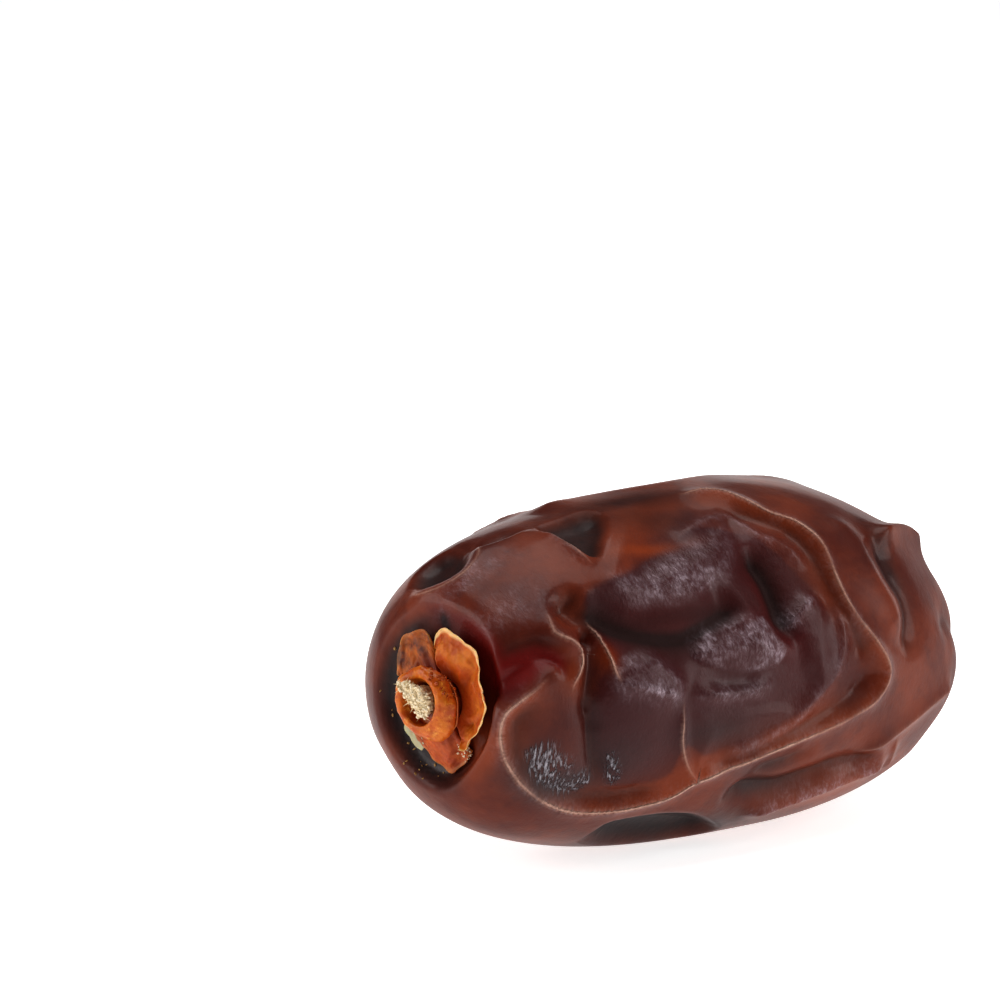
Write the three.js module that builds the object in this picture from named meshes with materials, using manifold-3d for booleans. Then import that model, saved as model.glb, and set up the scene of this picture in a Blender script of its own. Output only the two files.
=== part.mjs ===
// A Khudri date lying on its side, in millimetres, +Z up.
// The tip points along +X and the calyx faces -X.
// The origin is the middle of the flat spot that the fruit rests on.

import * as THREE from 'three';
import { mergeVertices } from 'three/addons/utils/BufferGeometryUtils.js';
import Module from 'manifold-3d';

// The fruit's plain body: two rounded halves joined at the widest station
const CALYX_HALF = 25.1;        // from the widest station to the calyx end
const TIP_HALF = 17.4;          // and to the tip
const HALF_WIDTH = 10.9;
const HALF_HEIGHT = 10.6;
const CALYX_FULLNESS = 2.93;    // 2 is an ellipse, more is blunter
const TIP_FULLNESS = 2.0;
const CALYX_SWAY = -1.0;        // how far the calyx end leans to the front
const CALYX_LIFT = 0.7;         // how far it is raised
const TIP_DROOP = -1.55;        // how far the tip hangs

// Where the widest station's centre stands over the flat spot
const STATION_X = 4.2;
const STATION_Z = 10.25;

// The net on the fruit: quads along it and across each of its six sides
const NET_LONG = 44;
const NET_ACROSS = 25;
const STEPS_PER_POINT = 6;      // short straight steps between two points of a path

// The calyx: its seat's centre, measured from the widest station, and how far it is turned to the front
const SEAT_X = -23.2;
const SEAT_Y = -2.8;
const SEAT_Z = 0.9;
const SEAT_TURN = THREE.MathUtils.degToRad(9);
const SEAT_RADIUS = 4.3;        // flat floor of the hollow
const SEAT_BLEND = 1.8;         // from the floor out to the plain skin
const SEAT_NARROW = 1.0;        // how much closer the skin comes on one side, and how much steeper it is
const SEAT_STEEP = 0.4;
const SEAT_GENTLE = 0.5;        // how much wider the slope is above the calyx
const SEAT_NARROW_WAY = THREE.MathUtils.degToRad(-12);
const SEAT_SPREAD = 12.4;       // the hollow changes nothing farther out than this

const GAP = 0.3;                // between pieces that touch
const PETAL_THICK = 0.6;
const PETAL_START = 1.45;       // radius where the petals begin, round the cup's root
const ROOT_RADIUS = 1.1;
const ROOT_DEPTH = 1.1;         // how deep the cup's root goes into the fruit
const CUP_FLARE = 1.2;          // height where the cup spreads out over the petals
const CUP_TOP = 2.5;
const CUP_TALL = 1.08;          // how much taller the cup is than wide
const CUP_CENTRE = new THREE.Vector2(-0.10, -0.30);
const MOUTH_CENTRE = new THREE.Vector2(-0.55, 0.15);
const CUP_BLEND = 0.3;          // height over which the root turns into the cup
const STUB_FOOT = 1.75;
const STUB_TOP = 2.65;
const STUB_SLANT = 0.3;         // rise of the stub's top towards its tip, per millimetre
const STUB_NECK = 0.8;          // largest radius where it stands in the mouth
const STUB_OPENS = 0.5;         // share of its height where it starts to widen, and over which it does
const STUB_OPENING = 0.25;
const STUB_WORN = 0.85;         // how much of the top's radius is left at its very edge

// Wrinkles: a path of [degrees from the calyx end, degrees round from the front and up], with a crest's
// height (less than nothing for a crease), how round its top is and how far its hollow sides reach
const RIM = [[34.5, 17.5], [31, 13], [26.5, 7.5], [23.5, 2], [22.5, -6.5], [23.5, -16], [26, -24],
  [30.5, -31.5], [37, -37.5], [44.5, -40.5], [53, -38], [61, -32.5], [64.5, -27.5], [69.5, -24.5],
  [76, -20.5], [86, -15.5], [93.5, -11.5], [99.5, -7.5], [103, 1], [100, 11.5], [95.5, 22], [94, 34],
  [94.5, 47], [92.5, 57], [89, 63.5], [85, 78], [79, 84]];
const BACK_RIM = [[50, 130], [47, 148], [50, 166], [57, 184], [68, 193], [82, 192], [97, 182], [108, 166],
  [107, 142], [95, 124], [78, 118], [61, 121], [50, 130]];
const WRINKLES = {
  // Rim of the sunken front, and the moats beside it
  rim: { height: 0.4, round: 0.12, reach: 0.5, path: RIM },
  moatLeft: { height: -0.45, round: 0.25, reach: 0.45, path: [[33, 12], [28.5, 4], [25.7, -3], [25.7, -12],
    [28, -22.5], [34, -31.5], [42.5, -35.5], [51.5, -34], [60, -29]] },
  moatLow: { height: -0.35, round: 0.2, reach: 0.4, path: [[66.5, -24.5], [71, -21.5], [77, -17.5],
    [86.5, -11.5], [93, -7], [97.5, -1.5], [98, 4]] },
  moatRight: { height: -0.45, round: 0.4, reach: 0.7, path: [[98, 3], [97, 12], [94, 22], [92.3, 34],
    [92, 46], [90, 57], [86, 66], [82, 74]] },
  // Knot of folds where the panels meet
  knot: { height: 0.5, round: 0.12, reach: 0.45, path: [[39, 44.5], [38, 38], [38, 33], [40.5, 29],
    [42.3, 26], [42.6, 22], [41.5, 17.5], [39.8, 13], [38.5, 8]] },
  hood: { height: 0.5, round: 0.12, reach: 0.45, path: [[46.5, 38], [47.5, 32], [47.8, 27], [48.3, 20],
    [48.6, 15], [49.5, 10]] },
  crease: { height: -0.65, round: 0.15, reach: 0.45, path: [[44.5, 33], [44.7, 26.5], [43.5, 14.5],
    [42.3, 3], [42.8, -4], [43.8, -13], [45.5, -22], [48, -31]] },
  knotCrease: { height: -0.45, round: 0.12, reach: 0.4, path: [[48, 47.5], [45, 46.5], [41.5, 43.5],
    [39, 41]] },
  spur: { height: 0.35, round: 0.12, reach: 0.5, path: [[65.5, -28], [63, -21], [61.5, -12], [61.5, -4],
    [62, 2.5]] },
  // Edges, lumps and valleys inside the rim
  planeEdge: { height: 0.4, round: 0.3, reach: 0.6, path: [[91, 28], [92, 23], [92.5, 17.5], [92.5, 12],
    [91.5, 7], [89, 2], [85.5, -5], [82, -11], [75.5, -16], [69, -19.5]] },
  innerTop: { height: 0.4, round: 0.3, reach: 0.55, path: [[71, 61], [75, 64.5], [79, 67.5], [83, 68],
    [84, 62.5], [85, 56], [87.5, 51], [89, 45], [88.5, 38.5]] },
  smallLump: { height: 0.5, round: 0.2, reach: 0.45, path: [[82, 19.5], [83.5, 22.5], [85.5, 25.5],
    [87.5, 28.5], [89.5, 30.5]] },
  lumpNearLow: { height: 0.6, round: 0.15, reach: 0.6, path: [[47, 16.5], [48.5, 13.5], [50, 11], [54, 8],
    [58, 5.5], [63, 2.5]] },
  lumpNearTop: { height: 0.45, round: 0.25, reach: 0.5, path: [[54, 23], [56, 19], [58, 13.5], [60, 9],
    [62.5, 3]] },
  lumpFarTop: { height: 0.4, round: 0.2, reach: 0.5, path: [[64, 20.5], [68.5, 23], [73.5, 25], [79, 27]] },
  lumpFarRight: { height: 0.35, round: 0.2, reach: 0.5, path: [[78.5, 27], [80, 20.5], [81.5, 13],
    [80.5, 9.5]] },
  lumpFarFold: { height: -0.25, round: 0.35, reach: 0.6, path: [[65, 9], [69, 6], [74, 4.5], [78, 4.5]] },
  lumpFarLow: { height: 0.45, round: 0.2, reach: 0.5, path: [[63, 3.5], [68, 2], [74, 1.5], [79.5, 3]] },
  redValley: { height: -0.85, round: 0.8, reach: 1, path: [[44, 44.5], [47.5, 38], [51.5, 32], [57.5, 26],
    [63.5, 23.5], [67.5, 25.5], [73, 29.5], [77, 32]] },
  upperEdge: { height: 0.3, round: 0.5, reach: 0.9, path: [[50.5, 43], [55, 36], [60, 33.5], [65, 33.5],
    [69, 35], [73, 38]] },
  rightValley: { height: -0.85, round: 0.4, reach: 0.7, path: [[81.5, 55.5], [82, 48], [82.5, 39],
    [82.5, 31], [82.5, 22.5], [84, 15]] },
  // Folds on top of the calyx end
  topHood: { height: 0.5, round: 0.2, reach: 0.6, path: [[52, 83.5], [51, 76], [51, 71.5], [51, 63],
    [52, 58], [53, 54.5]] },
  topNear: { height: 0.3, round: 0.3, reach: 0.8, path: [[36, 86], [42, 85], [47, 84], [51.5, 81]] },
  topCrease: { height: -0.4, round: 0.12, reach: 0.45, path: [[41, 111], [39.5, 100], [39.5, 93],
    [42.5, 89.5], [47.5, 87.5], [51, 85]] },
  dentEdge: { height: 0.35, round: 0.2, reach: 0.5, path: [[23, 110], [21, 97], [24, 85], [30, 80],
    [37, 85], [40.5, 97]] },
  calyxNotch: { height: -0.6, round: 0.15, reach: 0.5, path: [[20.5, 79.5], [17, 75.5], [13.5, 69],
    [10, 62]] },
  redFoldTop: { height: -0.35, round: 0.12, reach: 0.4, path: [[21, 33], [27, 33.5], [33, 33.5], [37, 30],
    [40.5, 25]] },
  // Shoulder and lip at the tip
  shoulderValley: { height: -0.55, round: 0.35, reach: 0.9, path: [[110, 52], [111.5, 44], [111.5, 34],
    [113.5, 25], [112.5, 14], [109.5, 2]] },
  shoulder: { height: 0.35, round: 0.5, reach: 1.2, path: [[101, 62], [104, 48], [105, 34], [108, 20],
    [109, 8]] },
  tipLip: { height: 1, round: 0.2, reach: 0.7, path: [[110.5, 46], [114, 50], [119, 53.5], [127, 58],
    [134, 61], [142, 62]] },
  // Folds low on the front
  lowCrest: { height: 0.45, round: 0.15, reach: 0.6, path: [[137, -12], [126, -14], [119, -16.5],
    [108.5, -22.5], [102, -27.5], [97, -30.5]] },
  lowFold: { height: 0.75, round: 0.3, reach: 0.7, path: [[79, -52], [83, -47], [87, -44], [91, -41.5],
    [97, -39.5], [104, -37.5], [112, -34]] },
  lowValley: { height: -0.85, round: 0.35, reach: 0.8, path: [[72, -40], [77, -36.5], [83, -38],
    [88, -35.5], [94, -33], [101, -32.5], [107, -30]] },
  lowValleyNear: { height: -0.4, round: 0.25, reach: 0.6, path: [[75, -29.5], [78, -27.5], [82, -25.5],
    [88, -22.5]] },
  // Far side
  backRim: { height: 0.35, round: 0.15, reach: 0.8, path: BACK_RIM },
  backLong: { height: 0.5, round: 0.2, reach: 0.9, path: [[51, 142], [59, 146], [70, 141], [86, 147],
    [100, 142]] },
  backDip: { height: -0.55, round: 0.3, reach: 1, path: [[56, 172], [62, 169], [72, 180], [88, 172],
    [101, 163]] },
  backCross: { height: 0.4, round: 0.2, reach: 0.8, path: [[58, 119], [62, 132], [59, 146], [64, 160],
    [62, 176]] },
  backCrossFar: { height: 0.35, round: 0.2, reach: 0.8, path: [[86, 120], [83, 134], [88, 150], [84, 166],
    [88, 186]] },
  backLow: { height: 0.6, round: 0.25, reach: 1.1, path: [[38, 222], [50, 223], [62, 219], [80, 226],
    [98, 220], [116, 226]] },
  backLowDip: { height: -0.5, round: 0.35, reach: 1.2, path: [[40, 238], [58, 241], [76, 238], [92, 244],
    [108, 240]] },
  // Crown of the fruit
  crown: { height: 0.4, round: 0.25, reach: 1.1, path: [[56, 98], [68, 102], [82, 99], [98, 104], [112, 98],
    [124, 104]] },
  crownDip: { height: -0.45, round: 0.3, reach: 1, path: [[62, 112], [78, 108], [94, 113], [110, 110]] },
  // Round the tip
  tipA: { height: -0.5, round: 0.3, reach: 1.1, path: [[118, 96], [130, 104], [144, 100], [158, 108]] },
  tipB: { height: 0.5, round: 0.3, reach: 1.1, path: [[116, 150], [128, 160], [142, 156], [157, 164]] },
  tipC: { height: -0.5, round: 0.3, reach: 1.1, path: [[118, 196], [132, 204], [146, 198], [160, 206]] },
  tipD: { height: 0.45, round: 0.3, reach: 1.1, path: [[120, 250], [134, 256], [148, 250], [160, 258]] },
  tipE: { height: -0.4, round: 0.3, reach: 1, path: [[128, -52], [140, -44], [152, -50], [163, -40]] },
  tipF: { height: -0.35, round: 0.3, reach: 1, path: [[126, 12], [138, 20], [150, 14], [162, 24]] },
};
const WRINKLE_FADE = 2.0;       // length over which each end of a wrinkle runs out
const FINEST = 0.95;            // the least reach that the net can carry; finer forms are widened to it

// Panels where the skin has sunk or stands up: height, how wide the slope is, and a closed outline
const PANELS = {
  big: { height: -0.7, slope: 1.2, outline: [...RIM, [70, 82], [60, 60], [52, 46], [46, 40], [40, 28]] },
  lumpNear: { height: 0.35, slope: 1, outline: [[54, 23], [56.5, 19], [58, 13.5], [60, 8.5], [62.5, 3],
    [58.5, 5.5], [54, 8], [50.5, 11], [48, 16], [50, 20.5]] },
  lumpFar: { height: 0.55, slope: 1.1, outline: [[65, 21], [69, 23], [74, 25], [79, 27], [80, 20.5],
    [81.5, 13], [80.5, 9.5], [78.5, 7.5], [74.5, 7.5], [69.5, 10], [65, 15]] },
  upper: { height: 0.45, slope: 2, outline: [[53, 53], [60.5, 54], [67, 58.5], [71.5, 61.5], [78, 66],
    [82.5, 67], [82, 59], [80, 48.5], [77.5, 41], [73, 37.5], [68.5, 35], [64.5, 33.5], [60.5, 34],
    [55.5, 36], [52.5, 43.5]] },
  rightPlane: { height: 0.4, slope: 1, outline: [[83, 20], [86, 26], [89.5, 30.5], [91.5, 24], [92, 14],
    [90.5, 5], [87, -3], [84, 5]] },
  lowPlane: { height: 0.3, slope: 0.8, outline: [[63, -1], [79, -3], [82, -9], [75.5, -13.5], [69, -18],
    [65, -24], [63.5, -14]] },
  dent: { height: -1, slope: 0.8, outline: [[24, 112], [22.5, 99], [25.5, 88], [30.5, 83], [36, 88],
    [39, 99], [38, 112], [31, 118]] },
  greyHollow: { height: -0.95, slope: 1.1, outline: [[51, 86], [57, 86.5], [62, 86], [64, 80], [62, 72],
    [58.5, 65], [55, 58], [51.5, 61], [50, 70], [50, 79]] },
  redHollow: { height: -1.1, slope: 1.3, outline: [[16.5, 24], [20, 31], [24.5, 34.5], [30, 35.5], [35, 34],
    [38.5, 28.5], [40, 21], [38, 14], [34.5, 17.5], [31, 13], [26.5, 7.5], [21, 5.5], [16, 10], [15, 17]] },
  back: { height: -0.9, slope: 1.8, outline: BACK_RIM },
  under: { height: -1.3, slope: 1.2, outline: [[51.5, -56], [52.5, -47], [57, -43], [64, -42], [70.5, -45],
    [76, -53], [80, -64], [76, -74], [62, -74], [53, -66]] },
};

const PANEL_SHOULDER = 1.6;     // how softly a panel's slope starts at its outline

// Oval lumps and dents: half-sizes along the fruit and round it, and height
const OVALS = {
  lobe: { centre: [32, -8], radii: [3.6, 4.2], height: 0.65 },
  secondPanel: { centre: [53, -8], radii: [2.6, 5], height: 0.35 },
  flankSwell: { centre: [30, -58], radii: [5, 3], height: 0.5 },
  backDent: { centre: [36, 158], radii: [2.4, 1.8], height: -0.45 },
  backDentLow: { centre: [34, 228], radii: [3, 1.8], height: -0.5 },
  tipDent: { centre: [125, 130], radii: [2.6, 2.2], height: -0.7 },
  tipDentBack: { centre: [122, 215], radii: [3.2, 2.2], height: -0.6 },
};
const OVAL_DEPTH = 7.0;         // half-size through the skin, so that a dent stays on its own side
const OVAL_FLATNESS = 2.6;      // 2 is a plain bell, more has a flatter top

// Petals: rim points [angle from the front, radius], how far the rim curls up, the swell near the cup, and
// creases [angle, width, depth]
const PETALS = {
  petal_front: {
    curl: 0.85, swell: 0.08, creases: [[40, 8, 0.22], [-28, 9, 0.2]],
    rim: [[-57, 3.1], [-50, 3.35], [-36, 3.25], [-23, 3.4], [-8, 3.65], [6, 3.8], [23, 3.7], [39, 3.85],
      [53, 4.15], [70, 4.12], [80, 4.25], [88, 4.3], [95, 3.9], [99, 3.3]],
  },
  petal_top: {
    curl: 0.35, swell: 0.3, creases: [[132, 8, 0.2]],
    rim: [[103, 3.2], [106, 3.75], [110, 4.15], [116, 4.4], [124, 4.5], [134, 4.6], [142, 4.25], [152, 3.95],
      [163, 3.6]],
  },
  petal_bottom: {
    curl: 0, swell: 0.15, creases: [[-74, 8, 0.1]],
    rim: [[-152, 3.5], [-140, 3.7], [-126, 3.7], [-112, 3.85], [-100, 4.1], [-88, 4.25], [-79, 4.0],
      [-66, 3.55], [-61, 3.3]],
  },
};
// The front petal's upper lobe swells near the cup and droops at its rim
const LOBE = { from: 38, over: 14, swell: 0.3, droop: 0.45 };

// The cup's outline [radius, height], from the middle of its root out and up into its mouth
const CUP_OUTLINE = [[0, -ROOT_DEPTH], [ROOT_RADIUS, -ROOT_DEPTH], [ROOT_RADIUS, CUP_FLARE], [1.5, 1.32],
  [1.8, 1.5], [1.98, 1.8], [1.95, 2.15], [1.75, 2.42], [1.5, CUP_TOP], [1.33, 2.42], [1.25, 2.1], [1.12, 1.6],
  [0.8, 1.45], [0, 1.45]];

// The stub's outline at its top: [angle from the front, radius], with one long tip
const STUB_RIM = [[-221, 1.6], [-211, 1.1], [-187, 0.6], [-160, 0.5], [-112, 0.6], [-90, 0.85], [-73, 0.9],
  [-50, 0.9], [-16, 0.85], [14, 0.85], [52, 0.85], [94, 0.95], [124, 1.3], [139, 1.6]];

const wasm = await Module();
wasm.setup();

const smooth = (share) => THREE.MathUtils.smoothstep(share, 0, 1);

// A direction from the body's centre, for degrees from the calyx end and degrees round from the front
function direction(fromCalyx, round) {
  const a = THREE.MathUtils.degToRad(fromCalyx);
  const b = THREE.MathUtils.degToRad(round);
  return new THREE.Vector3(-Math.cos(a), -Math.sin(a) * Math.cos(b), Math.sin(a) * Math.sin(b));
}

// The plain body's point in a direction
function bodyPoint(way) {
  const nearCalyx = way.x < 0;
  const t = THREE.MathUtils.clamp(way.x, -1, 1);
  const fullness = nearCalyx ? CALYX_FULLNESS : TIP_FULLNESS;
  const ring = (1 - Math.abs(t) ** fullness) ** (1 / fullness);
  const across = Math.hypot(way.y, way.z) || 1;
  return new THREE.Vector3(
    t * (nearCalyx ? CALYX_HALF : TIP_HALF),
    (nearCalyx ? CALYX_SWAY : 0) * t * t + HALF_WIDTH * ring * way.y / across,
    (nearCalyx ? CALYX_LIFT : TIP_DROOP) * t * t + HALF_HEIGHT * ring * way.z / across,
  );
}

// The plain body's outward normal in a direction, from two short steps beside it
function bodyNormal(way) {
  const step = 1e-3;
  const helper = Math.abs(way.x) > 0.9 ? new THREE.Vector3(0, 1, 0) : new THREE.Vector3(1, 0, 0);
  const a = new THREE.Vector3().crossVectors(way, helper).normalize();
  const b = new THREE.Vector3().crossVectors(way, a);
  const beside = (side, sign) => bodyPoint(way.clone().addScaledVector(side, sign * step).normalize());
  const alongA = beside(a, 1).sub(beside(a, -1));
  const alongB = beside(b, 1).sub(beside(b, -1));
  const normal = alongA.cross(alongB).normalize();
  return normal.dot(way) < 0 ? normal.negate() : normal;
}

// A smooth path through points given in degrees, as short steps on the plain body
function pathOnBody(points) {
  const curve = new THREE.SplineCurve(points.map(([a, b]) => new THREE.Vector2(a, b)));
  return curve.getPoints((points.length - 1) * STEPS_PER_POINT).map((p) => direction(p.x, p.y));
}

// Distance from a point to a path, and how far along the path that is
function nearest(point, path) {
  const best = { distance: Infinity, along: 0 };
  const between = new THREE.Line3();
  const foot = new THREE.Vector3();
  let done = 0;
  for (let i = 1; i < path.length; i++) {
    between.set(path[i - 1], path[i]);
    const length = between.distance();
    const share = between.closestPointToPointParameter(point, true);
    const distance = between.at(share, foot).distanceTo(point);
    if (distance < best.distance) Object.assign(best, { distance, along: done + share * length });
    done += length;
  }
  best.length = done;
  return best;
}

// One wrinkle as a function of a place on the body: a rounded crest with hollow sides
function wrinkleOf({ height, round, reach, path }) {
  const line = pathOnBody(path).map(bodyPoint);
  const top = Math.max(round, FINEST / 2);
  const spread = Math.max(reach, FINEST);
  return ({ point }) => {
    const { distance, along, length } = nearest(point, line);
    const fade = Math.min(WRINKLE_FADE, length / 3);
    const ends = smooth(along / fade) * smooth((length - along) / fade);
    return height * ends * Math.exp((top - Math.hypot(distance, top)) / spread);
  };
}

// One panel: a slope inside its outline, tested on a flat map laid round its middle
function panelOf({ height, slope, outline }) {
  const ways = pathOnBody([...outline, outline[0]]);
  const middle = ways.reduce((sum, way) => sum.add(way), new THREE.Vector3()).normalize();
  const east = new THREE.Vector3(1, 0, 0).addScaledVector(middle, -middle.x).normalize();
  const north = new THREE.Vector3().crossVectors(middle, east);
  const onMap = (way) => {
    const flat = new THREE.Vector2(way.dot(east), way.dot(north));
    return flat.setLength(way.angleTo(middle));
  };
  const edge = ways.map(bodyPoint);
  const map = ways.map(onMap);
  return ({ way, point }) => {
    if (way.dot(middle) <= 0) return 0;
    const spot = onMap(way);
    let inside = false;
    for (let i = 1; i < map.length; i++) {
      const [p, q] = [map[i - 1], map[i]];
      const crosses = (p.y > spot.y) !== (q.y > spot.y);
      if (crosses && spot.x < p.x + (q.x - p.x) * (spot.y - p.y) / (q.y - p.y)) inside = !inside;
    }
    if (!inside) return 0;
    const { distance } = nearest(point, edge);
    return height * (1 - Math.exp(-((distance / Math.max(slope, FINEST)) ** PANEL_SHOULDER)));
  };
}

// One oval lump or dent
function ovalOf({ centre, radii, height }) {
  const way = direction(...centre);
  const middle = bodyPoint(way);
  const out = bodyNormal(way);
  const along = new THREE.Vector3(1, 0, 0).addScaledVector(out, -out.x).normalize();
  const round = new THREE.Vector3().crossVectors(out, along);
  return ({ point }) => {
    const offset = point.clone().sub(middle);
    const [long, wide] = radii;
    const deep = offset.dot(out) / OVAL_DEPTH;
    const spread = Math.hypot(offset.dot(along) / long, offset.dot(round) / wide, deep);
    return height * Math.exp(-(spread ** OVAL_FLATNESS));
  };
}

// The calyx's own frame: x to the front, y up, z out of the fruit
const seat = new THREE.Group();
seat.position.set(SEAT_X, SEAT_Y, SEAT_Z);
const seatOut = new THREE.Vector3(-Math.cos(SEAT_TURN), -Math.sin(SEAT_TURN), 0);
const seatUp = new THREE.Vector3(0, 0, 1);
const seatFront = new THREE.Vector3().crossVectors(seatUp, seatOut);
seat.quaternion.setFromRotationMatrix(new THREE.Matrix4().makeBasis(seatFront, seatUp, seatOut));
seat.updateMatrix();

// Presses the hollow for the calyx into the skin
function pressSeat(point) {
  const local = point.clone().applyMatrix4(seat.matrix.clone().invert());
  const radius = Math.hypot(local.x, local.y);
  if (radius > SEAT_SPREAD || local.z < -OVAL_DEPTH) return point;
  const narrow = smooth(Math.cos(Math.atan2(local.y, local.x) - SEAT_NARROW_WAY));
  const floor = SEAT_RADIUS - SEAT_NARROW * narrow;
  const above = smooth(local.y / Math.max(radius, 1));
  local.z *= smooth((radius - floor) / (SEAT_BLEND - SEAT_STEEP * narrow + SEAT_GENTLE * above));
  return local.applyMatrix4(seat.matrix);
}

// A closed net of quads over a box, with shared corners only
function closedNet(width, height, depth, columns, rows, layers) {
  const net = new THREE.BoxGeometry(width, height, depth, columns, rows, layers);
  net.deleteAttribute('normal');
  net.deleteAttribute('uv');
  return mergeVertices(net);
}

// Moves every corner of a geometry by a function of its place
function reshape(geometry, move) {
  const places = geometry.attributes.position;
  const corner = new THREE.Vector3();
  for (let i = 0; i < places.count; i++) {
    corner.fromBufferAttribute(places, i);
    const moved = move(corner);
    places.setXYZ(i, moved.x, moved.y, moved.z);
  }
  return geometry;
}

const toSolid = (geometry) => new wasm.Manifold(new wasm.Mesh({
  numProp: 3,
  vertProperties: new Float32Array(geometry.attributes.position.array),
  triVerts: new Uint32Array(geometry.index.array),
}));

function fromSolid(solid) {
  const { vertProperties, triVerts } = solid.getMesh();
  const geometry = new THREE.BufferGeometry();
  geometry.setAttribute('position', new THREE.BufferAttribute(new Float32Array(vertProperties), 3));
  geometry.setIndex(new THREE.BufferAttribute(new Uint32Array(triVerts), 1));
  geometry.computeVertexNormals();
  return geometry;
}

function bareClosed(geometry) {
  geometry.deleteAttribute('normal');
  geometry.deleteAttribute('uv');
  return mergeVertices(geometry);
}

// The fruit: an evenly spread net blown up to the body, wrinkled along its normals, and pressed flat where
// it rests
function fruitGeometry() {
  const reliefs = [
    ...Object.values(WRINKLES).map(wrinkleOf),
    ...Object.values(PANELS).map(panelOf),
    ...Object.values(OVALS).map(ovalOf),
  ];
  const evenly = (v) => Math.tan(v * Math.PI / 4);
  const net = closedNet(2, 2, 2, NET_LONG, NET_ACROSS, NET_ACROSS);
  reshape(net, (corner) => {
    const way = new THREE.Vector3(evenly(corner.x), evenly(corner.y), evenly(corner.z)).normalize();
    const point = bodyPoint(way);
    const lift = reliefs.reduce((sum, relief) => sum + relief({ way, point }), 0);
    const skin = pressSeat(point.clone().addScaledVector(bodyNormal(way), lift));
    skin.z = Math.max(skin.z, -STATION_Z);
    return skin;
  });
  const hole = ROOT_RADIUS + GAP;
  const socket = bareClosed(new THREE.CylinderGeometry(hole, hole, 2 * (ROOT_DEPTH + GAP), 24));
  socket.rotateX(Math.PI / 2).applyMatrix4(seat.matrix);
  return fromSolid(toSolid(net).subtract(toSolid(socket)));
}

// A petal: a thin arched plate from the cup's root out to its rim, lying on the seat
function petalGeometry({ curl, swell, rim, creases }, lobe) {
  const edge = new THREE.SplineCurve(rim.map(([angle, radius]) => new THREE.Vector2(angle, radius)));
  const lift = (outwards, angle) => {
    const inLobe = lobe ? smooth((angle - lobe.from) / lobe.over) : 0;
    const rise = (curl - inLobe * (lobe?.droop ?? 0)) * outwards ** 3;
    const arch = (swell + inLobe * (lobe?.swell ?? 0)) * Math.sin(Math.PI * outwards) ** 2;
    const creased = creases.map(([at, width, depth]) => depth * Math.exp(-(((angle - at) / width) ** 2)));
    return rise + arch - smooth(2 * outwards) * creased.reduce((sum, depth) => sum + depth, 0);
  };
  const plate = closedNet(1, 1, PETAL_THICK, 7, 28, 1);
  return bareClosed(reshape(plate, (corner) => {
    const outwards = corner.x + 0.5;
    const end = edge.getPoint(corner.y + 0.5);
    const angle = THREE.MathUtils.degToRad(end.x);
    const length = end.y - PETAL_START;
    const radius = PETAL_START + length * outwards;
    // A plate that stands steeper is taller by as much as keeps its thickness
    const step = 0.05;
    const slope = (lift(outwards, end.x) - lift(outwards - step, end.x)) / (step * length);
    const height = GAP + PETAL_THICK / 2 + lift(outwards, end.x) + corner.z * Math.hypot(1, slope);
    return new THREE.Vector3(radius * Math.cos(angle), radius * Math.sin(angle), height);
  }));
}

// The cup in the middle: a solid root under a thick ring, whose mouth is moved off its middle
function cupGeometry() {
  const lathe = new THREE.LatheGeometry(CUP_OUTLINE.map(([r, z]) => new THREE.Vector2(r, z)), 36);
  const centre = new THREE.Vector2();
  return reshape(bareClosed(lathe.rotateX(Math.PI / 2)), (corner) => {
    if (corner.z <= CUP_FLARE) return corner;
    const moved = smooth((corner.z - CUP_FLARE) / (CUP_TOP - CUP_FLARE));
    const above = smooth((corner.z - CUP_FLARE) / CUP_BLEND);
    centre.lerpVectors(CUP_CENTRE, MOUTH_CENTRE, moved).multiplyScalar(above);
    const tall = THREE.MathUtils.lerp(1, CUP_TALL, above);
    return new THREE.Vector3(centre.x + corner.x, centre.y + corner.y * tall, corner.z);
  });
}

// The torn end of the stalk: an oval plug in the cup's mouth, slanted at the top towards its one long tip
function stubGeometry() {
  const outline = new THREE.SplineCurve(STUB_RIM.map(([angle, radius]) => new THREE.Vector2(angle, radius)));
  const peg = new THREE.CylinderGeometry(1, 1, 1, 28, 8);
  peg.rotateX(Math.PI / 2).translate(0, 0, 0.5);
  return reshape(bareClosed(peg), (corner) => {
    const rise = corner.z;
    const inwards = Math.hypot(corner.x, corner.y);
    const turn = (Math.atan2(corner.y, corner.x) / (2 * Math.PI) + 1) % 1;
    const end = outline.getPoint(turn);
    const angle = THREE.MathUtils.degToRad(end.x);
    const spread = smooth((rise - STUB_OPENS) / STUB_OPENING);
    const worn = rise > 0.95 ? STUB_WORN : 1;
    const radius = inwards * worn * THREE.MathUtils.lerp(Math.min(end.y, STUB_NECK), end.y, spread);
    const x = radius * Math.cos(angle);
    const y = radius * Math.sin(angle);
    const top = STUB_TOP + STUB_SLANT * (y - x) / Math.SQRT2;
    const height = THREE.MathUtils.lerp(STUB_FOOT, top, rise);
    return new THREE.Vector3(MOUTH_CENTRE.x + x, MOUTH_CENTRE.y + y, height);
  });
}

function piece(name, geometry, color, roughness) {
  const mesh = new THREE.Mesh(geometry, new THREE.MeshStandardMaterial({ color, roughness, metalness: 0 }));
  mesh.name = name;
  return mesh;
}

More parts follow.
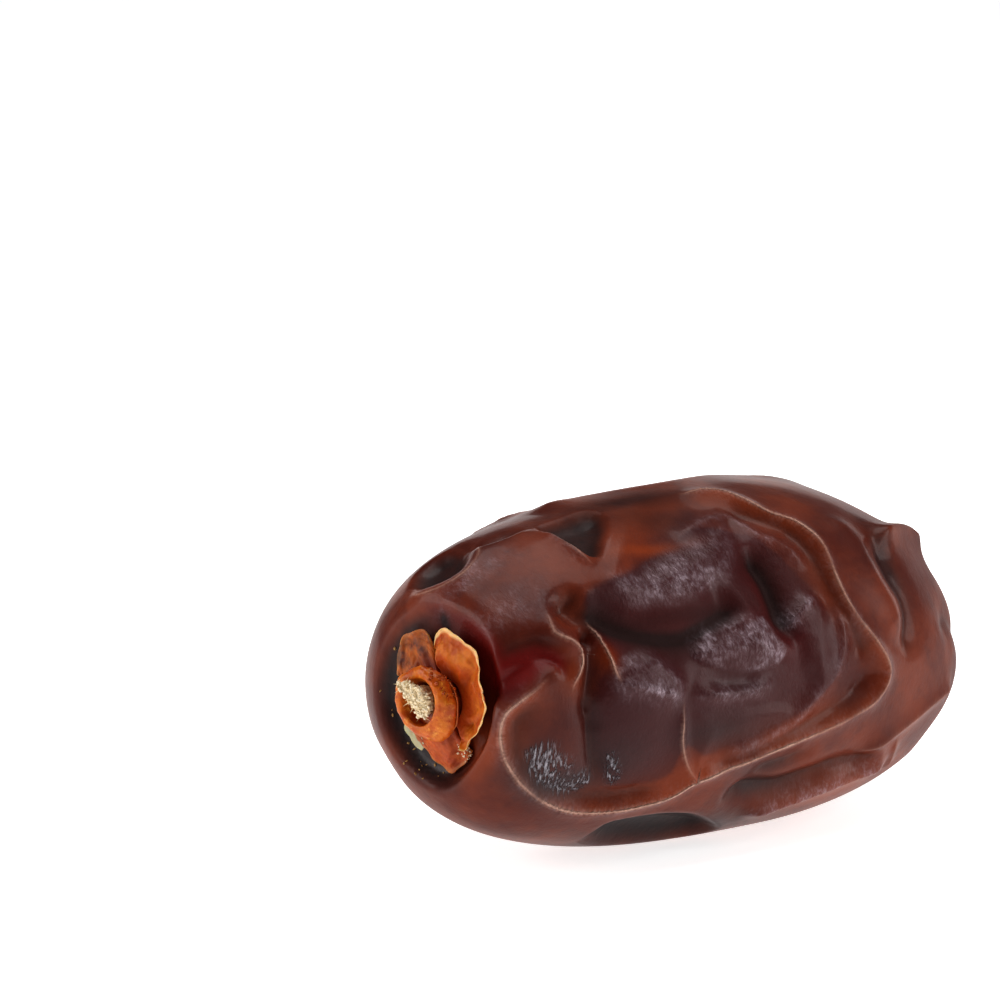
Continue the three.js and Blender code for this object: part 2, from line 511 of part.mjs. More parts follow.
const date = new THREE.Group();
date.position.set(STATION_X, 0, STATION_Z);
date.add(piece('fruit', fruitGeometry(), 0x4a1c12, 0.35));
date.add(seat);
seat.add(piece('petal_front', petalGeometry(PETALS.petal_front, LOBE), 0xc9762b, 0.6));
seat.add(piece('petal_top', petalGeometry(PETALS.petal_top), 0x8a4a24, 0.6));
seat.add(piece('petal_bottom', petalGeometry(PETALS.petal_bottom), 0xb9602c, 0.6));
seat.add(piece('sepal_cup', cupGeometry(), 0xd98a3a, 0.5));
seat.add(piece('stalk_stub', stubGeometry(), 0xe6d3a8, 0.85));

export default date;
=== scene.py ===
# %% [markdown]
# # A Khudri date in Blender
# This lesson builds one dried date on a pale floor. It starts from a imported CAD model, which says where
# each piece lies and how big it is, and gives every piece its fine surface and its material. Lengths below
# are in millimetres until a mesh is made, because a date is small. Blender itself works in metres.

# %% The frame, and the tools used below
import math
import bpy
import numpy as np
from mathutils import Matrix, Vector


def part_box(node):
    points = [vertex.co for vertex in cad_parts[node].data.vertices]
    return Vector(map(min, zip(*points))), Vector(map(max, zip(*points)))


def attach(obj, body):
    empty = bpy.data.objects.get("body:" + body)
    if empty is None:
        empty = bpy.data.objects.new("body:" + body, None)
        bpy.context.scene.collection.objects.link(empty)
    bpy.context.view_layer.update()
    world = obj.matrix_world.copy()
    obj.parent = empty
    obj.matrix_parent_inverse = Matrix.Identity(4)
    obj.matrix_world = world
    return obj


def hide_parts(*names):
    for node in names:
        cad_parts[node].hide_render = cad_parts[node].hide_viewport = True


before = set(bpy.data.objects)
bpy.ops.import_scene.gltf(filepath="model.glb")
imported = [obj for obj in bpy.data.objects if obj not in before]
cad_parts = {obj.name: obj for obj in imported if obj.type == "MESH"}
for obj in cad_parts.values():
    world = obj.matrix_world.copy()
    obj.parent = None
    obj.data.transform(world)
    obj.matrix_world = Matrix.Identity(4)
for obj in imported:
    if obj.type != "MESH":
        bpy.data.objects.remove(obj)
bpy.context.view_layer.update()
MM = 0.001
fruit_low, fruit_high = [np.array(corner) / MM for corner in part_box("fruit")]
print("fruit in the frame, mm:", fruit_low.round(1), fruit_high.round(1))

# %% [markdown]
# ## The plain body
# A date is close to an egg with one blunt end. Two half shapes meet at the widest station: each is a
# superellipse, x^p + r^p = 1, and p says how blunt it is. A place on the body is given by two angles, like
# a globe's: degrees from the calyx end, and degrees round from the front and up.

# %% Body sizes, and points on the body
CALYX_HALF = 25.1           # from the widest station to the calyx end
TIP_HALF = 17.4
HALF_WIDTH = 10.9
HALF_HEIGHT = 10.6
CALYX_FULLNESS = 2.93       # 2 is an ellipse, more is blunter
TIP_FULLNESS = 2.0
CALYX_SWAY = -1.0           # the calyx end leans to the front
CALYX_LIFT = 0.7            # and is raised
TIP_DROOP = -1.55           # the tip hangs
STATION = np.array([4.2, 0.0, 10.25])   # the widest station's centre, in the frame


def direction(from_calyx, around):
    """Unit vectors for angles in degrees."""
    a = np.radians(from_calyx)
    b = np.radians(around)
    return np.stack([-np.cos(a), -np.sin(a) * np.cos(b), np.sin(a) * np.sin(b)], axis=-1)


def body_point(way):
    """The plain body's surface in the given directions, measured from the widest station."""
    t = way[:, 0].clip(-1, 1)
    across = np.hypot(way[:, 1], way[:, 2]).clip(1e-9)
    calyx_side = t < 0
    fullness = np.where(calyx_side, CALYX_FULLNESS, TIP_FULLNESS)
    ring = (1 - np.abs(t) ** fullness).clip(0) ** (1 / fullness)
    x = t * np.where(calyx_side, CALYX_HALF, TIP_HALF)
    y = np.where(calyx_side, CALYX_SWAY, 0) * t * t + HALF_WIDTH * ring * way[:, 1] / across
    z = np.where(calyx_side, CALYX_LIFT, TIP_DROOP) * t * t + HALF_HEIGHT * ring * way[:, 2] / across
    return np.stack([x, y, z], axis=1)


def unit(vectors):
    return vectors / np.linalg.norm(vectors, axis=-1, keepdims=True).clip(1e-12)


def body_normal(way):
    """Outward normals, from two short steps beside each direction."""
    step = 1e-4
    helper = np.where(np.abs(way[:, :1]) > 0.9, [[0.0, 1.0, 0.0]], [[1.0, 0.0, 0.0]])
    a = unit(np.cross(way, helper))
    b = np.cross(way, a)
    along_a = body_point(unit(way + step * a)) - body_point(unit(way - step * a))
    along_b = body_point(unit(way + step * b)) - body_point(unit(way - step * b))
    normal = unit(np.cross(along_a, along_b))
    return normal * np.sign((normal * way).sum(axis=1, keepdims=True))


# %% [markdown]
# ## An even net
# A globe's net bunches up at its poles. A cube blown up to a ball has no poles: its six grids of quads stay
# nearly even when each coordinate first goes through a tangent.

# %% The net of directions
NET_LONG = 220              # quads along the fruit
NET_ACROSS = 84             # quads across each side


def grid_faces(rows, columns, first=0):
    """Quads between neighbours in a grid of points, counted from the given number."""
    i, j = np.meshgrid(np.arange(rows - 1), np.arange(columns - 1), indexing="ij")
    corner = first + i * columns + j
    return np.stack([corner, corner + columns, corner + columns + 1, corner + 1], axis=-1).reshape(-1, 4)


def even_net(long, across):
    """Directions and quads of a cube's net spread over a ball."""
    along_x = np.tan(np.linspace(-1, 1, long + 1) * math.pi / 4)
    over = np.tan(np.linspace(-1, 1, across + 1) * math.pi / 4)
    sides = [
        (along_x, over, lambda u, v, one: (u, v, one)),
        (along_x, over, lambda u, v, one: (u, -v, -one)),
        (along_x, over, lambda u, v, one: (u, -one, v)),
        (along_x, over, lambda u, v, one: (u, one, -v)),
        (over, over, lambda u, v, one: (one, u, v)),
        (over, over, lambda u, v, one: (-one, -u, v)),
    ]
    points = []
    quads = []
    count = 0
    for first, second, place in sides:
        u, v = np.meshgrid(first, second, indexing="ij")
        points.append(np.stack(place(u, v, np.ones_like(u)), axis=-1).reshape(-1, 3))
        quads.append(grid_faces(len(first), len(second), count))
        count += len(first) * len(second)
    points = np.concatenate(points)
    quads = np.concatenate(quads)
    _, first_use, shared = np.unique(points.round(6), axis=0, return_index=True, return_inverse=True)
    return unit(points[first_use]), shared.reshape(-1)[quads]


way, fruit_quads = even_net(NET_LONG, NET_ACROSS)
plain = body_point(way)
normal = body_normal(way)
print("net:", len(way), "points,", len(fruit_quads), "quads")

# %% [markdown]
# ## How dried skin wrinkles
# A drying date shrinks under a skin that doesn't. The skin stands up in thin crests, with hollow cheeks
# between them, so a crest's section is a cusp: exp(-distance / reach), rounded at the top. A crease is the
# same upside down. Each runs along a path laid over the body. Where a whole patch of skin has sunk, a
# closed outline bounds a panel.

# %% Paths on the body
STEPS_PER_POINT = 8
FAR = 1e9


def smooth(share):
    share = np.clip(share, 0, 1)
    return share * share * (3 - 2 * share)


def spline(points):
    """A smooth curve through the points, as short straight steps."""
    p = np.array(points, dtype=float)
    last = len(p) - 1
    share = np.arange(STEPS_PER_POINT)[:, None] / STEPS_PER_POINT
    pieces = []
    for i in range(last):
        before, start, end, after = p[max(i - 1, 0)], p[i], p[i + 1], p[min(i + 2, last)]
        leave = (end - before) / 2
        arrive = (after - start) / 2
        cubic = 2 * start - 2 * end + leave + arrive
        square = -3 * start + 3 * end - 2 * leave - arrive
        pieces.append(((cubic * share + square) * share + leave) * share + start)
    return np.concatenate(pieces + [p[-1:]])


def distance_to_path(points, angles, within):
    """Distance to a path, how far along it, which side (1 is left), and the path's length."""
    ways = direction(*spline(angles).T)
    line = body_point(ways)
    outward = body_normal(ways)
    steps = line[1:] - line[:-1]
    lengths = np.linalg.norm(steps, axis=1)
    starts = np.concatenate([[0], np.cumsum(lengths)])
    distance = np.full(len(points), FAR)
    along = np.zeros(len(points))
    side = np.zeros(len(points))
    past_low = (points > line.min(axis=0) - within).all(axis=1)
    before_high = (points < line.max(axis=0) + within).all(axis=1)
    close = np.where(past_low & before_high)[0]
    near = points[close]
    best = np.full(len(near), FAR)
    best_along = np.zeros(len(near))
    best_side = np.zeros(len(near))
    for i, step in enumerate(steps):
        offset = near - line[i]
        share = ((offset @ step) / max(lengths[i] ** 2, 1e-12)).clip(0, 1)
        gap = offset - share[:, None] * step
        apart = np.linalg.norm(gap, axis=1)
        better = apart < best
        best[better] = apart[better]
        best_along[better] = starts[i] + share[better] * lengths[i]
        best_side[better] = np.sign(gap[better] @ np.cross(outward[i] + outward[i + 1], step))
    distance[close] = best
    along[close] = best_along
    side[close] = best_side
    return distance, along, side, starts[-1]


# %% [markdown]
# The front's paths go back to points picked out by eye on the photograph, as pixels. A separate program
# turned those into the body's two angles, and not all of them are still as it gave them. The far side's
# folds are made up.

# %% The wrinkles of this date
RIM = [(34.5, 17.5), (31, 13), (26.5, 7.5), (23.5, 2), (22.5, -6.5), (23.5, -16), (26, -24), (30.5, -31.5),
    (37, -37.5), (44.5, -40.5), (53, -38), (61, -32.5), (64.5, -27.5), (69.5, -24.5), (76, -20.5),
    (86, -15.5), (93.5, -11.5), (99.5, -7.5), (103, 1), (100, 11.5), (95.5, 22), (94, 34), (94.5, 47),
    (92.5, 57), (89, 63.5), (85, 78), (79, 84)]
BACK_RIM = [(50, 130), (47, 148), (50, 166), (57, 184), (68, 193), (82, 192), (97, 182), (108, 166),
    (107, 142), (95, 124), (78, 118), (61, 121), (50, 130)]
# name: (height, less than nothing for a crease; round top; reach of the hollow sides; path)
WRINKLES = {
    "rim": (0.40, 0.12, 0.5, RIM),
    "moat_left": (-0.45, 0.25, 0.45, [(33, 12), (28.5, 4), (25.7, -3), (25.7, -12), (28, -22.5),
        (34, -31.5), (42.5, -35.5), (51.5, -34), (60, -29)]),
    "moat_low": (-0.35, 0.2, 0.4, [(66.5, -24.5), (71, -21.5), (77, -17.5), (86.5, -11.5), (93, -7),
        (97.5, -1.5), (98, 4)]),
    "moat_right": (-0.45, 0.4, 0.7, [(98, 3), (97, 12), (94, 22), (92.3, 34), (92, 46), (90, 57), (86, 66),
        (82, 74)]),
    "knot": (0.50, 0.12, 0.45, [(39, 44.5), (38, 38), (38, 33), (40.5, 29), (42.3, 26), (42.6, 22),
        (41.5, 17.5), (39.8, 13), (38.5, 8)]),
    "hood": (0.50, 0.12, 0.45, [(46.5, 38), (47.5, 32), (47.8, 27), (48.3, 20), (48.6, 15), (49.5, 10)]),
    "crease": (-0.65, 0.15, 0.45, [(44.5, 33), (44.7, 26.5), (43.5, 14.5), (42.3, 3), (42.8, -4),
        (43.8, -13), (45.5, -22), (48, -31)]),
    "crease_beside": (-0.25, 0.1, 0.3, [(41.5, 9), (42, 4), (43.8, -1), (44.5, -9.5)]),
    "knot_crease": (-0.45, 0.12, 0.4, [(48, 47.5), (45, 46.5), (41.5, 43.5), (39, 41)]),
    "spur": (0.35, 0.12, 0.5, [(65.5, -28), (63, -21), (61.5, -12), (61.5, -4), (62, 2.5)]),
    "plane_edge": (0.40, 0.3, 0.6, [(91, 28), (92, 23), (92.5, 17.5), (92.5, 12), (91.5, 7), (89, 2),
        (85.5, -5), (82, -11), (75.5, -16), (69, -19.5)]),
    "inner_top": (0.40, 0.3, 0.55, [(71, 61), (75, 64.5), (79, 67.5), (83, 68), (84, 62.5), (85, 56),
        (87.5, 51), (89, 45), (88.5, 38.5)]),
    "small_lump": (0.50, 0.2, 0.45, [(82, 19.5), (83.5, 22.5), (85.5, 25.5), (87.5, 28.5), (89.5, 30.5)]),
    "lump_near_low": (0.60, 0.15, 0.6, [(47, 16.5), (48.5, 13.5), (50, 11), (54, 8), (58, 5.5), (63, 2.5)]),
    "lump_near_top": (0.45, 0.25, 0.5, [(54, 23), (56, 19), (58, 13.5), (60, 9), (62.5, 3)]),
    "lump_far_top": (0.40, 0.2, 0.5, [(64, 20.5), (68.5, 23), (73.5, 25), (79, 27)]),
    "lump_far_right": (0.35, 0.2, 0.5, [(78.5, 27), (80, 20.5), (81.5, 13), (80.5, 9.5)]),
    "lump_far_fold": (-0.25, 0.35, 0.6, [(65, 9), (69, 6), (74, 4.5), (78, 4.5)]),
    "lump_far_low": (0.45, 0.2, 0.5, [(63, 3.5), (68, 2), (74, 1.5), (79.5, 3)]),
    "red_valley": (-0.85, 0.8, 1.0, [(44, 44.5), (47.5, 38), (51.5, 32), (57.5, 26), (63.5, 23.5),
        (67.5, 25.5), (73, 29.5), (77, 32)]),
    "upper_edge": (0.30, 0.5, 0.9, [(50.5, 43), (55, 36), (60, 33.5), (65, 33.5), (69, 35), (73, 38)]),
    "right_valley": (-0.85, 0.4, 0.7, [(81.5, 55.5), (82, 48), (82.5, 39), (82.5, 31), (82.5, 22.5),
        (84, 15)]),
    "top_hood": (0.50, 0.2, 0.6, [(52, 83.5), (51, 76), (51, 71.5), (51, 63), (52, 58), (53, 54.5)]),
    "top_near": (0.30, 0.3, 0.8, [(36, 86), (42, 85), (47, 84), (51.5, 81)]),
    "top_crease": (-0.40, 0.12, 0.45, [(41, 111), (39.5, 100), (39.5, 93), (42.5, 89.5), (47.5, 87.5),
        (51, 85)]),
    "dent_edge": (0.35, 0.2, 0.5, [(23, 110), (21, 97), (24, 85), (30, 80), (37, 85), (40.5, 97)]),
    "calyx_notch": (-0.60, 0.15, 0.5, [(20.5, 79.5), (17, 75.5), (13.5, 69), (10, 62)]),
    "red_fold_low": (-0.30, 0.1, 0.3, [(16, 12), (21.5, 11), (26.5, 13), (31, 16)]),
    "red_fold": (0.25, 0.1, 0.3, [(18.5, 20), (23, 23), (28, 25.5), (35, 25.5)]),
    "red_fold_top": (-0.35, 0.12, 0.4, [(21, 33), (27, 33.5), (33, 33.5), (37, 30), (40.5, 25)]),
    "shoulder_valley": (-0.55, 0.35, 0.9, [(110, 52), (111.5, 44), (111.5, 34), (113.5, 25), (112.5, 14),
        (109.5, 2)]),
    "shoulder": (0.35, 0.5, 1.2, [(101, 62), (104, 48), (105, 34), (108, 20), (109, 8)]),
    "tip_lip": (1.00, 0.2, 0.7, [(110.5, 46), (114, 50), (119, 53.5), (127, 58), (134, 61), (142, 62)]),
    "low_crest": (0.45, 0.15, 0.6, [(137, -12), (126, -14), (119, -16.5), (108.5, -22.5), (102, -27.5),
        (97, -30.5)]),
    "tip_small": (0.25, 0.1, 0.35, [(110.5, -24.5), (112.5, -36.5), (115, -45.5)]),
    "low_fold": (0.75, 0.3, 0.7, [(79, -52), (83, -47), (87, -44), (91, -41.5), (97, -39.5), (104, -37.5),
        (112, -34)]),
    "low_valley": (-0.85, 0.35, 0.8, [(72, -40), (77, -36.5), (83, -38), (88, -35.5), (94, -33),
        (101, -32.5), (107, -30)]),
    "low_valley_near": (-0.40, 0.25, 0.6, [(75, -29.5), (78, -27.5), (82, -25.5), (88, -22.5)]),
    "back_rim": (0.35, 0.15, 0.8, BACK_RIM),
    "back_long": (0.50, 0.2, 0.9, [(51, 142), (59, 146), (70, 141), (86, 147), (100, 142)]),
    "back_dip": (-0.55, 0.3, 1.0, [(56, 172), (62, 169), (72, 180), (88, 172), (101, 163)]),
    "back_cross": (0.40, 0.2, 0.8, [(58, 119), (62, 132), (59, 146), (64, 160), (62, 176)]),
    "back_cross_far": (0.35, 0.2, 0.8, [(86, 120), (83, 134), (88, 150), (84, 166), (88, 186)]),
    "back_low": (0.60, 0.25, 1.1, [(38, 222), (50, 223), (62, 219), (80, 226), (98, 220), (116, 226)]),
    "back_low_dip": (-0.50, 0.35, 1.2, [(40, 238), (58, 241), (76, 238), (92, 244), (108, 240)]),
    "crown": (0.40, 0.25, 1.1, [(56, 98), (68, 102), (82, 99), (98, 104), (112, 98), (124, 104)]),
    "crown_dip": (-0.45, 0.3, 1.0, [(62, 112), (78, 108), (94, 113), (110, 110)]),
    "tip_a": (-0.50, 0.3, 1.1, [(118, 96), (130, 104), (144, 100), (158, 108)]),
    "tip_b": (0.50, 0.3, 1.1, [(116, 150), (128, 160), (142, 156), (157, 164)]),
    "tip_c": (-0.50, 0.3, 1.1, [(118, 196), (132, 204), (146, 198), (160, 206)]),
    "tip_d": (0.45, 0.3, 1.1, [(120, 250), (134, 256), (148, 250), (160, 258)]),
    "tip_e": (-0.40, 0.3, 1.0, [(128, -52), (140, -44), (152, -50), (163, -40)]),
    "tip_f": (-0.35, 0.3, 1.0, [(126, 12), (138, 20), (150, 14), (162, 24)]),
}
WRINKLE_FADE = 2.0          # length over which each end runs out
REACHES_FELT = 6            # a wrinkle is worked out so many reaches round the box that holds its path
CREASE_SHADE_REACH = 0.5          # reach of the painted shade along a crease
FULL_CREASE_SHADE = 0.6           # a crease this deep gets all of its painted shade


def ends_of(along, length):
    fade = min(WRINKLE_FADE, length / 3)
    return smooth(along / fade) * smooth((length - along) / fade)


lift = np.zeros(len(way))
# Painted shade: how dark each point is painted by the creases near it, stored as crease
crease = np.zeros(len(way))
paths = {}
for name, (height, round_top, reach, path) in WRINKLES.items():
    distance, along, side, length = distance_to_path(plain, path, REACHES_FELT * reach)
    ends = ends_of(along, length)
    lift += height * ends * np.exp((round_top - np.hypot(distance, round_top)) / reach)
    paths[name] = (distance, side, ends, along)
    if height < 0:
        share = min(-height / FULL_CREASE_SHADE, 1)
        crease = np.maximum(crease, ends * np.exp(-distance / CREASE_SHADE_REACH) * share)
print("wrinkles:", len(WRINKLES), "lift from", lift.min().round(2), "to", lift.max().round(2), "mm")

# %% [markdown]
# A crest's pale line is partly pale skin and partly a painted highlight, and it is finer than the net. A
# number stored at the net's corners is drawn straight between them, so the distance to the line is stored
# with a
# sign for its two sides: it passes through zero exactly on the line, and the material can draw it as thin
# as it likes.

# %% Pale lines
# Pale crest lines: partly the crest's pale skin, partly a painted highlight
PALE_LINES = {
    "rim": 1.0, "spur": 0.6, "knot": 1.0, "hood": 1.0, "top_hood": 0.45, "low_crest": 0.35,
    "tip_small": 0.3, "dent_edge": 0.5, "back_rim": 0.9, "back_long": 0.5, "back_low": 0.4,
}
PALE_REACH = 0.35
NO_LINE = 2.0               # the distance stored where no line is near
PALE_LOSS = 0.40            # share of their strength, pale skin and painted highlight, that the lines lose towards the tip
PALE_LOSS_START = -6        # measured along the fruit from the widest station
PALE_LOSS_LENGTH = 10
line_at = np.full(len(way), NO_LINE)
line_strength = np.zeros(len(way))
line_along = np.zeros(len(way))
for name, strength in PALE_LINES.items():
    distance, side, ends, along = paths[name]
    near = strength * ends * (1 - smooth(distance / PALE_REACH - 1))
    nearer = distance < np.abs(line_at)
    line_at = np.where(nearer, distance * side, line_at)
    line_strength = np.where(nearer, near, line_strength)
    line_along = np.where(nearer, along, line_along)
line_strength *= 1 - PALE_LOSS * smooth((plain[:, 0] - PALE_LOSS_START) / PALE_LOSS_LENGTH)
share = 100 * float((line_strength > 0).mean())
print("pale lines:", len(PALE_LINES), "on", round(share, 1), "% of the net")

# %% [markdown]
# A panel is where a closed outline of skin has dropped or stands up. To know which points are inside it,
# the ball is laid out flat round the panel's middle, and a ray is counted across the outline.

# %% Panels
PANEL_SHOULDER = 1.6        # how abruptly a slope ends in the panel's floor
WHOLE_PANEL = 40            # farther than any point inside a panel is from its outline
PANELS = {                  # height, width of the slope, outline
    "big": (-0.70, 1.2, RIM + [(70, 82), (60, 60), (52, 46), (46, 40), (40, 28)]),
    "lump_near": (0.35, 1.0, [(54, 23), (56.5, 19), (58, 13.5), (60, 8.5), (62.5, 3), (58.5, 5.5), (54, 8),
        (50.5, 11), (48, 16), (50, 20.5)]),
    "lump_far": (0.55, 1.1, [(65, 21), (69, 23), (74, 25), (79, 27), (80, 20.5), (81.5, 13), (80.5, 9.5),
        (78.5, 7.5), (74.5, 7.5), (69.5, 10), (65, 15)]),
    "upper": (0.45, 2.0, [(53, 53), (60.5, 54), (67, 58.5), (71.5, 61.5), (78, 66), (82.5, 67), (82, 59),
        (80, 48.5), (77.5, 41), (73, 37.5), (68.5, 35), (64.5, 33.5), (60.5, 34), (55.5, 36),
        (52.5, 43.5)]),
    "right_plane": (0.40, 1.0, [(83, 20), (86, 26), (89.5, 30.5), (91.5, 24), (92, 14), (90.5, 5), (87, -3),
        (84, 5)]),
    "low_plane": (0.30, 0.8, [(63, -1), (79, -3), (82, -9), (75.5, -13.5), (69, -18), (65, -24),
        (63.5, -14)]),
    "dent": (-1.00, 0.8, [(24, 112), (22.5, 99), (25.5, 88), (30.5, 83), (36, 88), (39, 99), (38, 112),
        (31, 118)]),
    "grey_hollow": (-0.85, 0.7, [(51, 86), (57, 86.5), (62, 86), (64, 80), (62, 72), (58.5, 65), (55, 58),
        (51.5, 61), (50, 70), (50, 79)]),
    "red_hollow": (-1.10, 1.3, [(16.5, 24), (20, 31), (24.5, 34.5), (30, 35.5), (35, 34), (38.5, 28.5),
        (40, 21), (38, 14), (34.5, 17.5), (31, 13), (26.5, 7.5), (21, 5.5), (16, 10), (15, 17)]),
    "back": (-0.90, 1.8, BACK_RIM),
    "under": (-1.30, 1.2, [(51.5, -56), (52.5, -47), (57, -43), (64, -42), (70.5, -45), (76, -53),
        (80, -64), (76, -74), (62, -74), (53, -66)]),
}


def inward_distance(outline):
    """Distance from a closed outline for points inside it, and nothing for the rest."""
    line = direction(*spline(outline + outline[:1]).T)
    middle = unit(line.mean(axis=0))
    east = unit(np.array([1.0, 0, 0]) - middle * middle[0])
    north = np.cross(middle, east)

    def flat(ways):
        angle = np.arccos((ways @ middle).clip(-1, 1))
        return angle * unit(np.stack([ways @ east, ways @ north], axis=1)).T

    x, y = flat(way)
    edge_x, edge_y = flat(line)
    inside = np.zeros(len(x), dtype=bool)
    for x0, y0, x1, y1 in zip(edge_x[:-1], edge_y[:-1], edge_x[1:], edge_y[1:]):
        if y0 != y1:
            inside ^= ((y0 > y) != (y1 > y)) & (x < x0 + (x1 - x0) * (y - y0) / (y1 - y0))
    inside &= way @ middle > 0
    distance = np.zeros(len(x))
    distance[inside] = distance_to_path(plain[inside], outline + outline[:1], WHOLE_PANEL)[0]
    return distance


inward = {}
for name, (height, slope, outline) in PANELS.items():
    inward[name] = inward_distance(outline)
    lift += height * (1 - np.exp(-(inward[name] / slope) ** PANEL_SHOULDER))
    print("panel", name, "covers", round(100 * float((inward[name] > 0).mean()), 1), "% of the net")

# %% [markdown]
# Last come oval lumps and dents: bells with a flat top, each with a half-size along the fruit and one round
# it.

# %% Lumps and dents
OVALS = {                   # centre, half-sizes, height
    "knot_hole": ((43.5, 40), (0.9, 1.1), -0.8),
    "knot_pit": ((44.8, 30), (0.6, 0.6), -0.8),
    "lobe": ((32, -8), (3.6, 4.2), 0.65),
    "second_panel": ((53, -8), (2.6, 5.0), 0.35),
    "flank_swell": ((30, -58), (5.0, 3.0), 0.5),
    "back_dent": ((36, 158), (2.4, 1.8), -0.45),
    "back_dent_low": ((34, 228), (3.0, 1.8), -0.5),
    "tip_dent": ((125, 130), (2.6, 2.2), -0.7),
    "tip_dent_back": ((122, 215), (3.2, 2.2), -0.6),
}
OVAL_DEPTH = 7.0            # half-size through the skin, so that a dent stays on its own side
OVAL_FLATNESS = 2.6         # 2 is a plain bell, more has a flatter top


def oval(points, centre, radii, flatness=OVAL_FLATNESS):
    """A bell that is 1 at an oval's centre."""
    middle_way = direction(*centre)[None, :]
    out = body_normal(middle_way)[0]
    along = unit(np.array([1.0, 0, 0]) - out * out[0])
    across = np.cross(out, along)
    offset = points - body_point(middle_way)[0]
    flat = (offset @ along / radii[0]) ** 2 + (offset @ across / radii[1]) ** 2
    return np.exp(-np.sqrt(flat + (offset @ out / OVAL_DEPTH) ** 2) ** flatness)


for centre, radii, height in OVALS.values():
    lift += height * oval(plain, centre, radii)
print("lumps and dents:", len(OVALS), "lift now from", lift.min().round(2), "to", lift.max().round(2), "mm")

# %% [markdown]
# The calyx sits in a hollow at the near end. It has its own small frame: front, up and out of the fruit.
# The hollow is pressed in that frame.

# %% The seat of the calyx, and the finished fruit mesh
SEAT = np.array([-23.2, -2.8, 0.9])     # from the widest station
SEAT_TURN = math.radians(9)
SEAT_RADIUS = 4.4
SEAT_BLEND = 1.3
SEAT_NARROW = 1.0           # how much closer the skin comes on one side
SEAT_STEEP = 0.4            # and how much shorter its slope is there
SEAT_GENTLE = 1.0           # how much wider the slope is above the calyx
SEAT_NARROW_WAY = math.radians(-12)
SEAT_SPREAD = 12.4          # the hollow changes nothing farther out than this
seat_out = np.array([-math.cos(SEAT_TURN), -math.sin(SEAT_TURN), 0])
seat_up = np.array([0.0, 0, 1])
seat_front = np.cross(seat_up, seat_out)
seat_axes = np.stack([seat_front, seat_up, seat_out])


def to_seat(points):
    return (points - SEAT) @ seat_axes.T


def from_seat(points):
    return points @ seat_axes + SEAT


def press_seat(points):
    local = to_seat(points)
    radius = np.hypot(local[:, 0], local[:, 1])
    on_end = (radius < SEAT_SPREAD) & (local[:, 2] > -OVAL_DEPTH)
    narrow = smooth(np.cos(np.arctan2(local[:, 1], local[:, 0]) - SEAT_NARROW_WAY))
    floor_radius = SEAT_RADIUS - SEAT_NARROW * narrow
    above = smooth(local[:, 1] / np.maximum(radius, 1))
    height = smooth((radius - floor_radius) / (SEAT_BLEND - SEAT_STEEP * narrow + SEAT_GENTLE * above))
    local[:, 2] *= np.where(on_end, height, 1)
    return from_seat(local)


def add_object(name, data):
    piece = bpy.data.objects.new(name, data)
    bpy.context.scene.collection.objects.link(piece)
    return piece


def add_mesh(name, points_mm, faces):
    """A new object from points in millimetres, measured from the widest station."""
    mesh = bpy.data.meshes.new(name)
    mesh.from_pydata(((points_mm + STATION) * MM).tolist(), [], [list(face) for face in faces])
    mesh.update()
    mesh.shade_smooth()
    return add_object(name, mesh)


skin_points = press_seat(plain + normal * lift[:, None])
skin_points[:, 2] = np.maximum(skin_points[:, 2], -STATION[2])
fruit = add_mesh("date_skin", skin_points, fruit_quads)
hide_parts("fruit")
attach(fruit, "root")
print("skin:", len(fruit.data.polygons), "quads, size", (np.array(fruit.dimensions) / MM).round(1))

# %% [markdown]
# ## Colour by place
# What the skin looks like depends on what it does: crests are pale, partly as a painted highlight, and sunken
# panels are plum. Light through thin skin is painted as an amber and a deep red glow, shade is painted dark
# into creases, valleys and hollows, and raised skin gets a wax bloom painted lighter as a sheen. Each of
# these is stored on the mesh as a number per corner, and the material reads them by name.

# %% Attributes
SOFT_OVAL = 2.0             # flatness of a coloured oval, which has softer edges than a dent
SEAT_EDGE = 4.7             # radius where the seat's painted shade and glow begin to fade
SEAT_FADE = 0.8
SEAT_DEPTH = 6.0            # skin farther in than this isn't the seat's
VALLEY_SHADE_REACH = 1.1
PLUM_OUTLINE = [(48, -31), (55, -31), (61, -26), (62.5, -16), (67, -20), (75.5, -15), (84.5, -8), (91, 4),
    (91, 20), (90, 30), (88, 41), (86, 51), (82, 61), (75, 65), (64, 56), (56.5, 51), (52, 50), (47, 46),
    (46.5, 38), (47.5, 27), (47, 18), (43.5, 8), (43.5, -11)]
SHELF = [(65, 82), (74, 86), (80, 80), (77, 71), (71, 64), (65, 59), (58.5, 55.5), (53.5, 56), (57.5, 65.5)]
LOBE_GLOSS = [(27, -15), (33, -8), (40, -8), (43.5, -12), (46.5, -28), (43, -36), (37, -35.5), (30.5, -28)]
RIGHT_GLOSS = [(46, -15), (49.5, -14.5), (52, -28), (48.5, -31)]
BLOOM_AND_SHEEN_LINES = {             # strength and reach of the wax bloom and painted sheen along a wrinkle
    "lump_near_low": (1.5, 0.4), "lump_near_top": (0.7, 0.4), "lump_far_top": (1.3, 0.3),
    "lump_far_low": (0.8, 0.35), "small_lump": (1.3, 0.35), "inner_top": (0.45, 0.35),
    "plane_edge": (0.4, 0.35), "top_hood": (0.4, 0.4), "low_fold": (0.9, 0.45), "rim": (0.3, 0.35),
}


def store(piece, name, values):
    layer = piece.data.attributes.new(name, "FLOAT", "POINT")
    layer.data.foreach_set("value", np.asarray(values, dtype=np.float32))


def strongest(*layers):
    return np.max(layers, axis=0)


def ovals(*places):
    """The strongest of several soft ovals: (centre, half-sizes, strength)."""
    bells = [strength * oval(plain, centre, radii, SOFT_OVAL) for centre, radii, strength in places]
    return strongest(*bells)


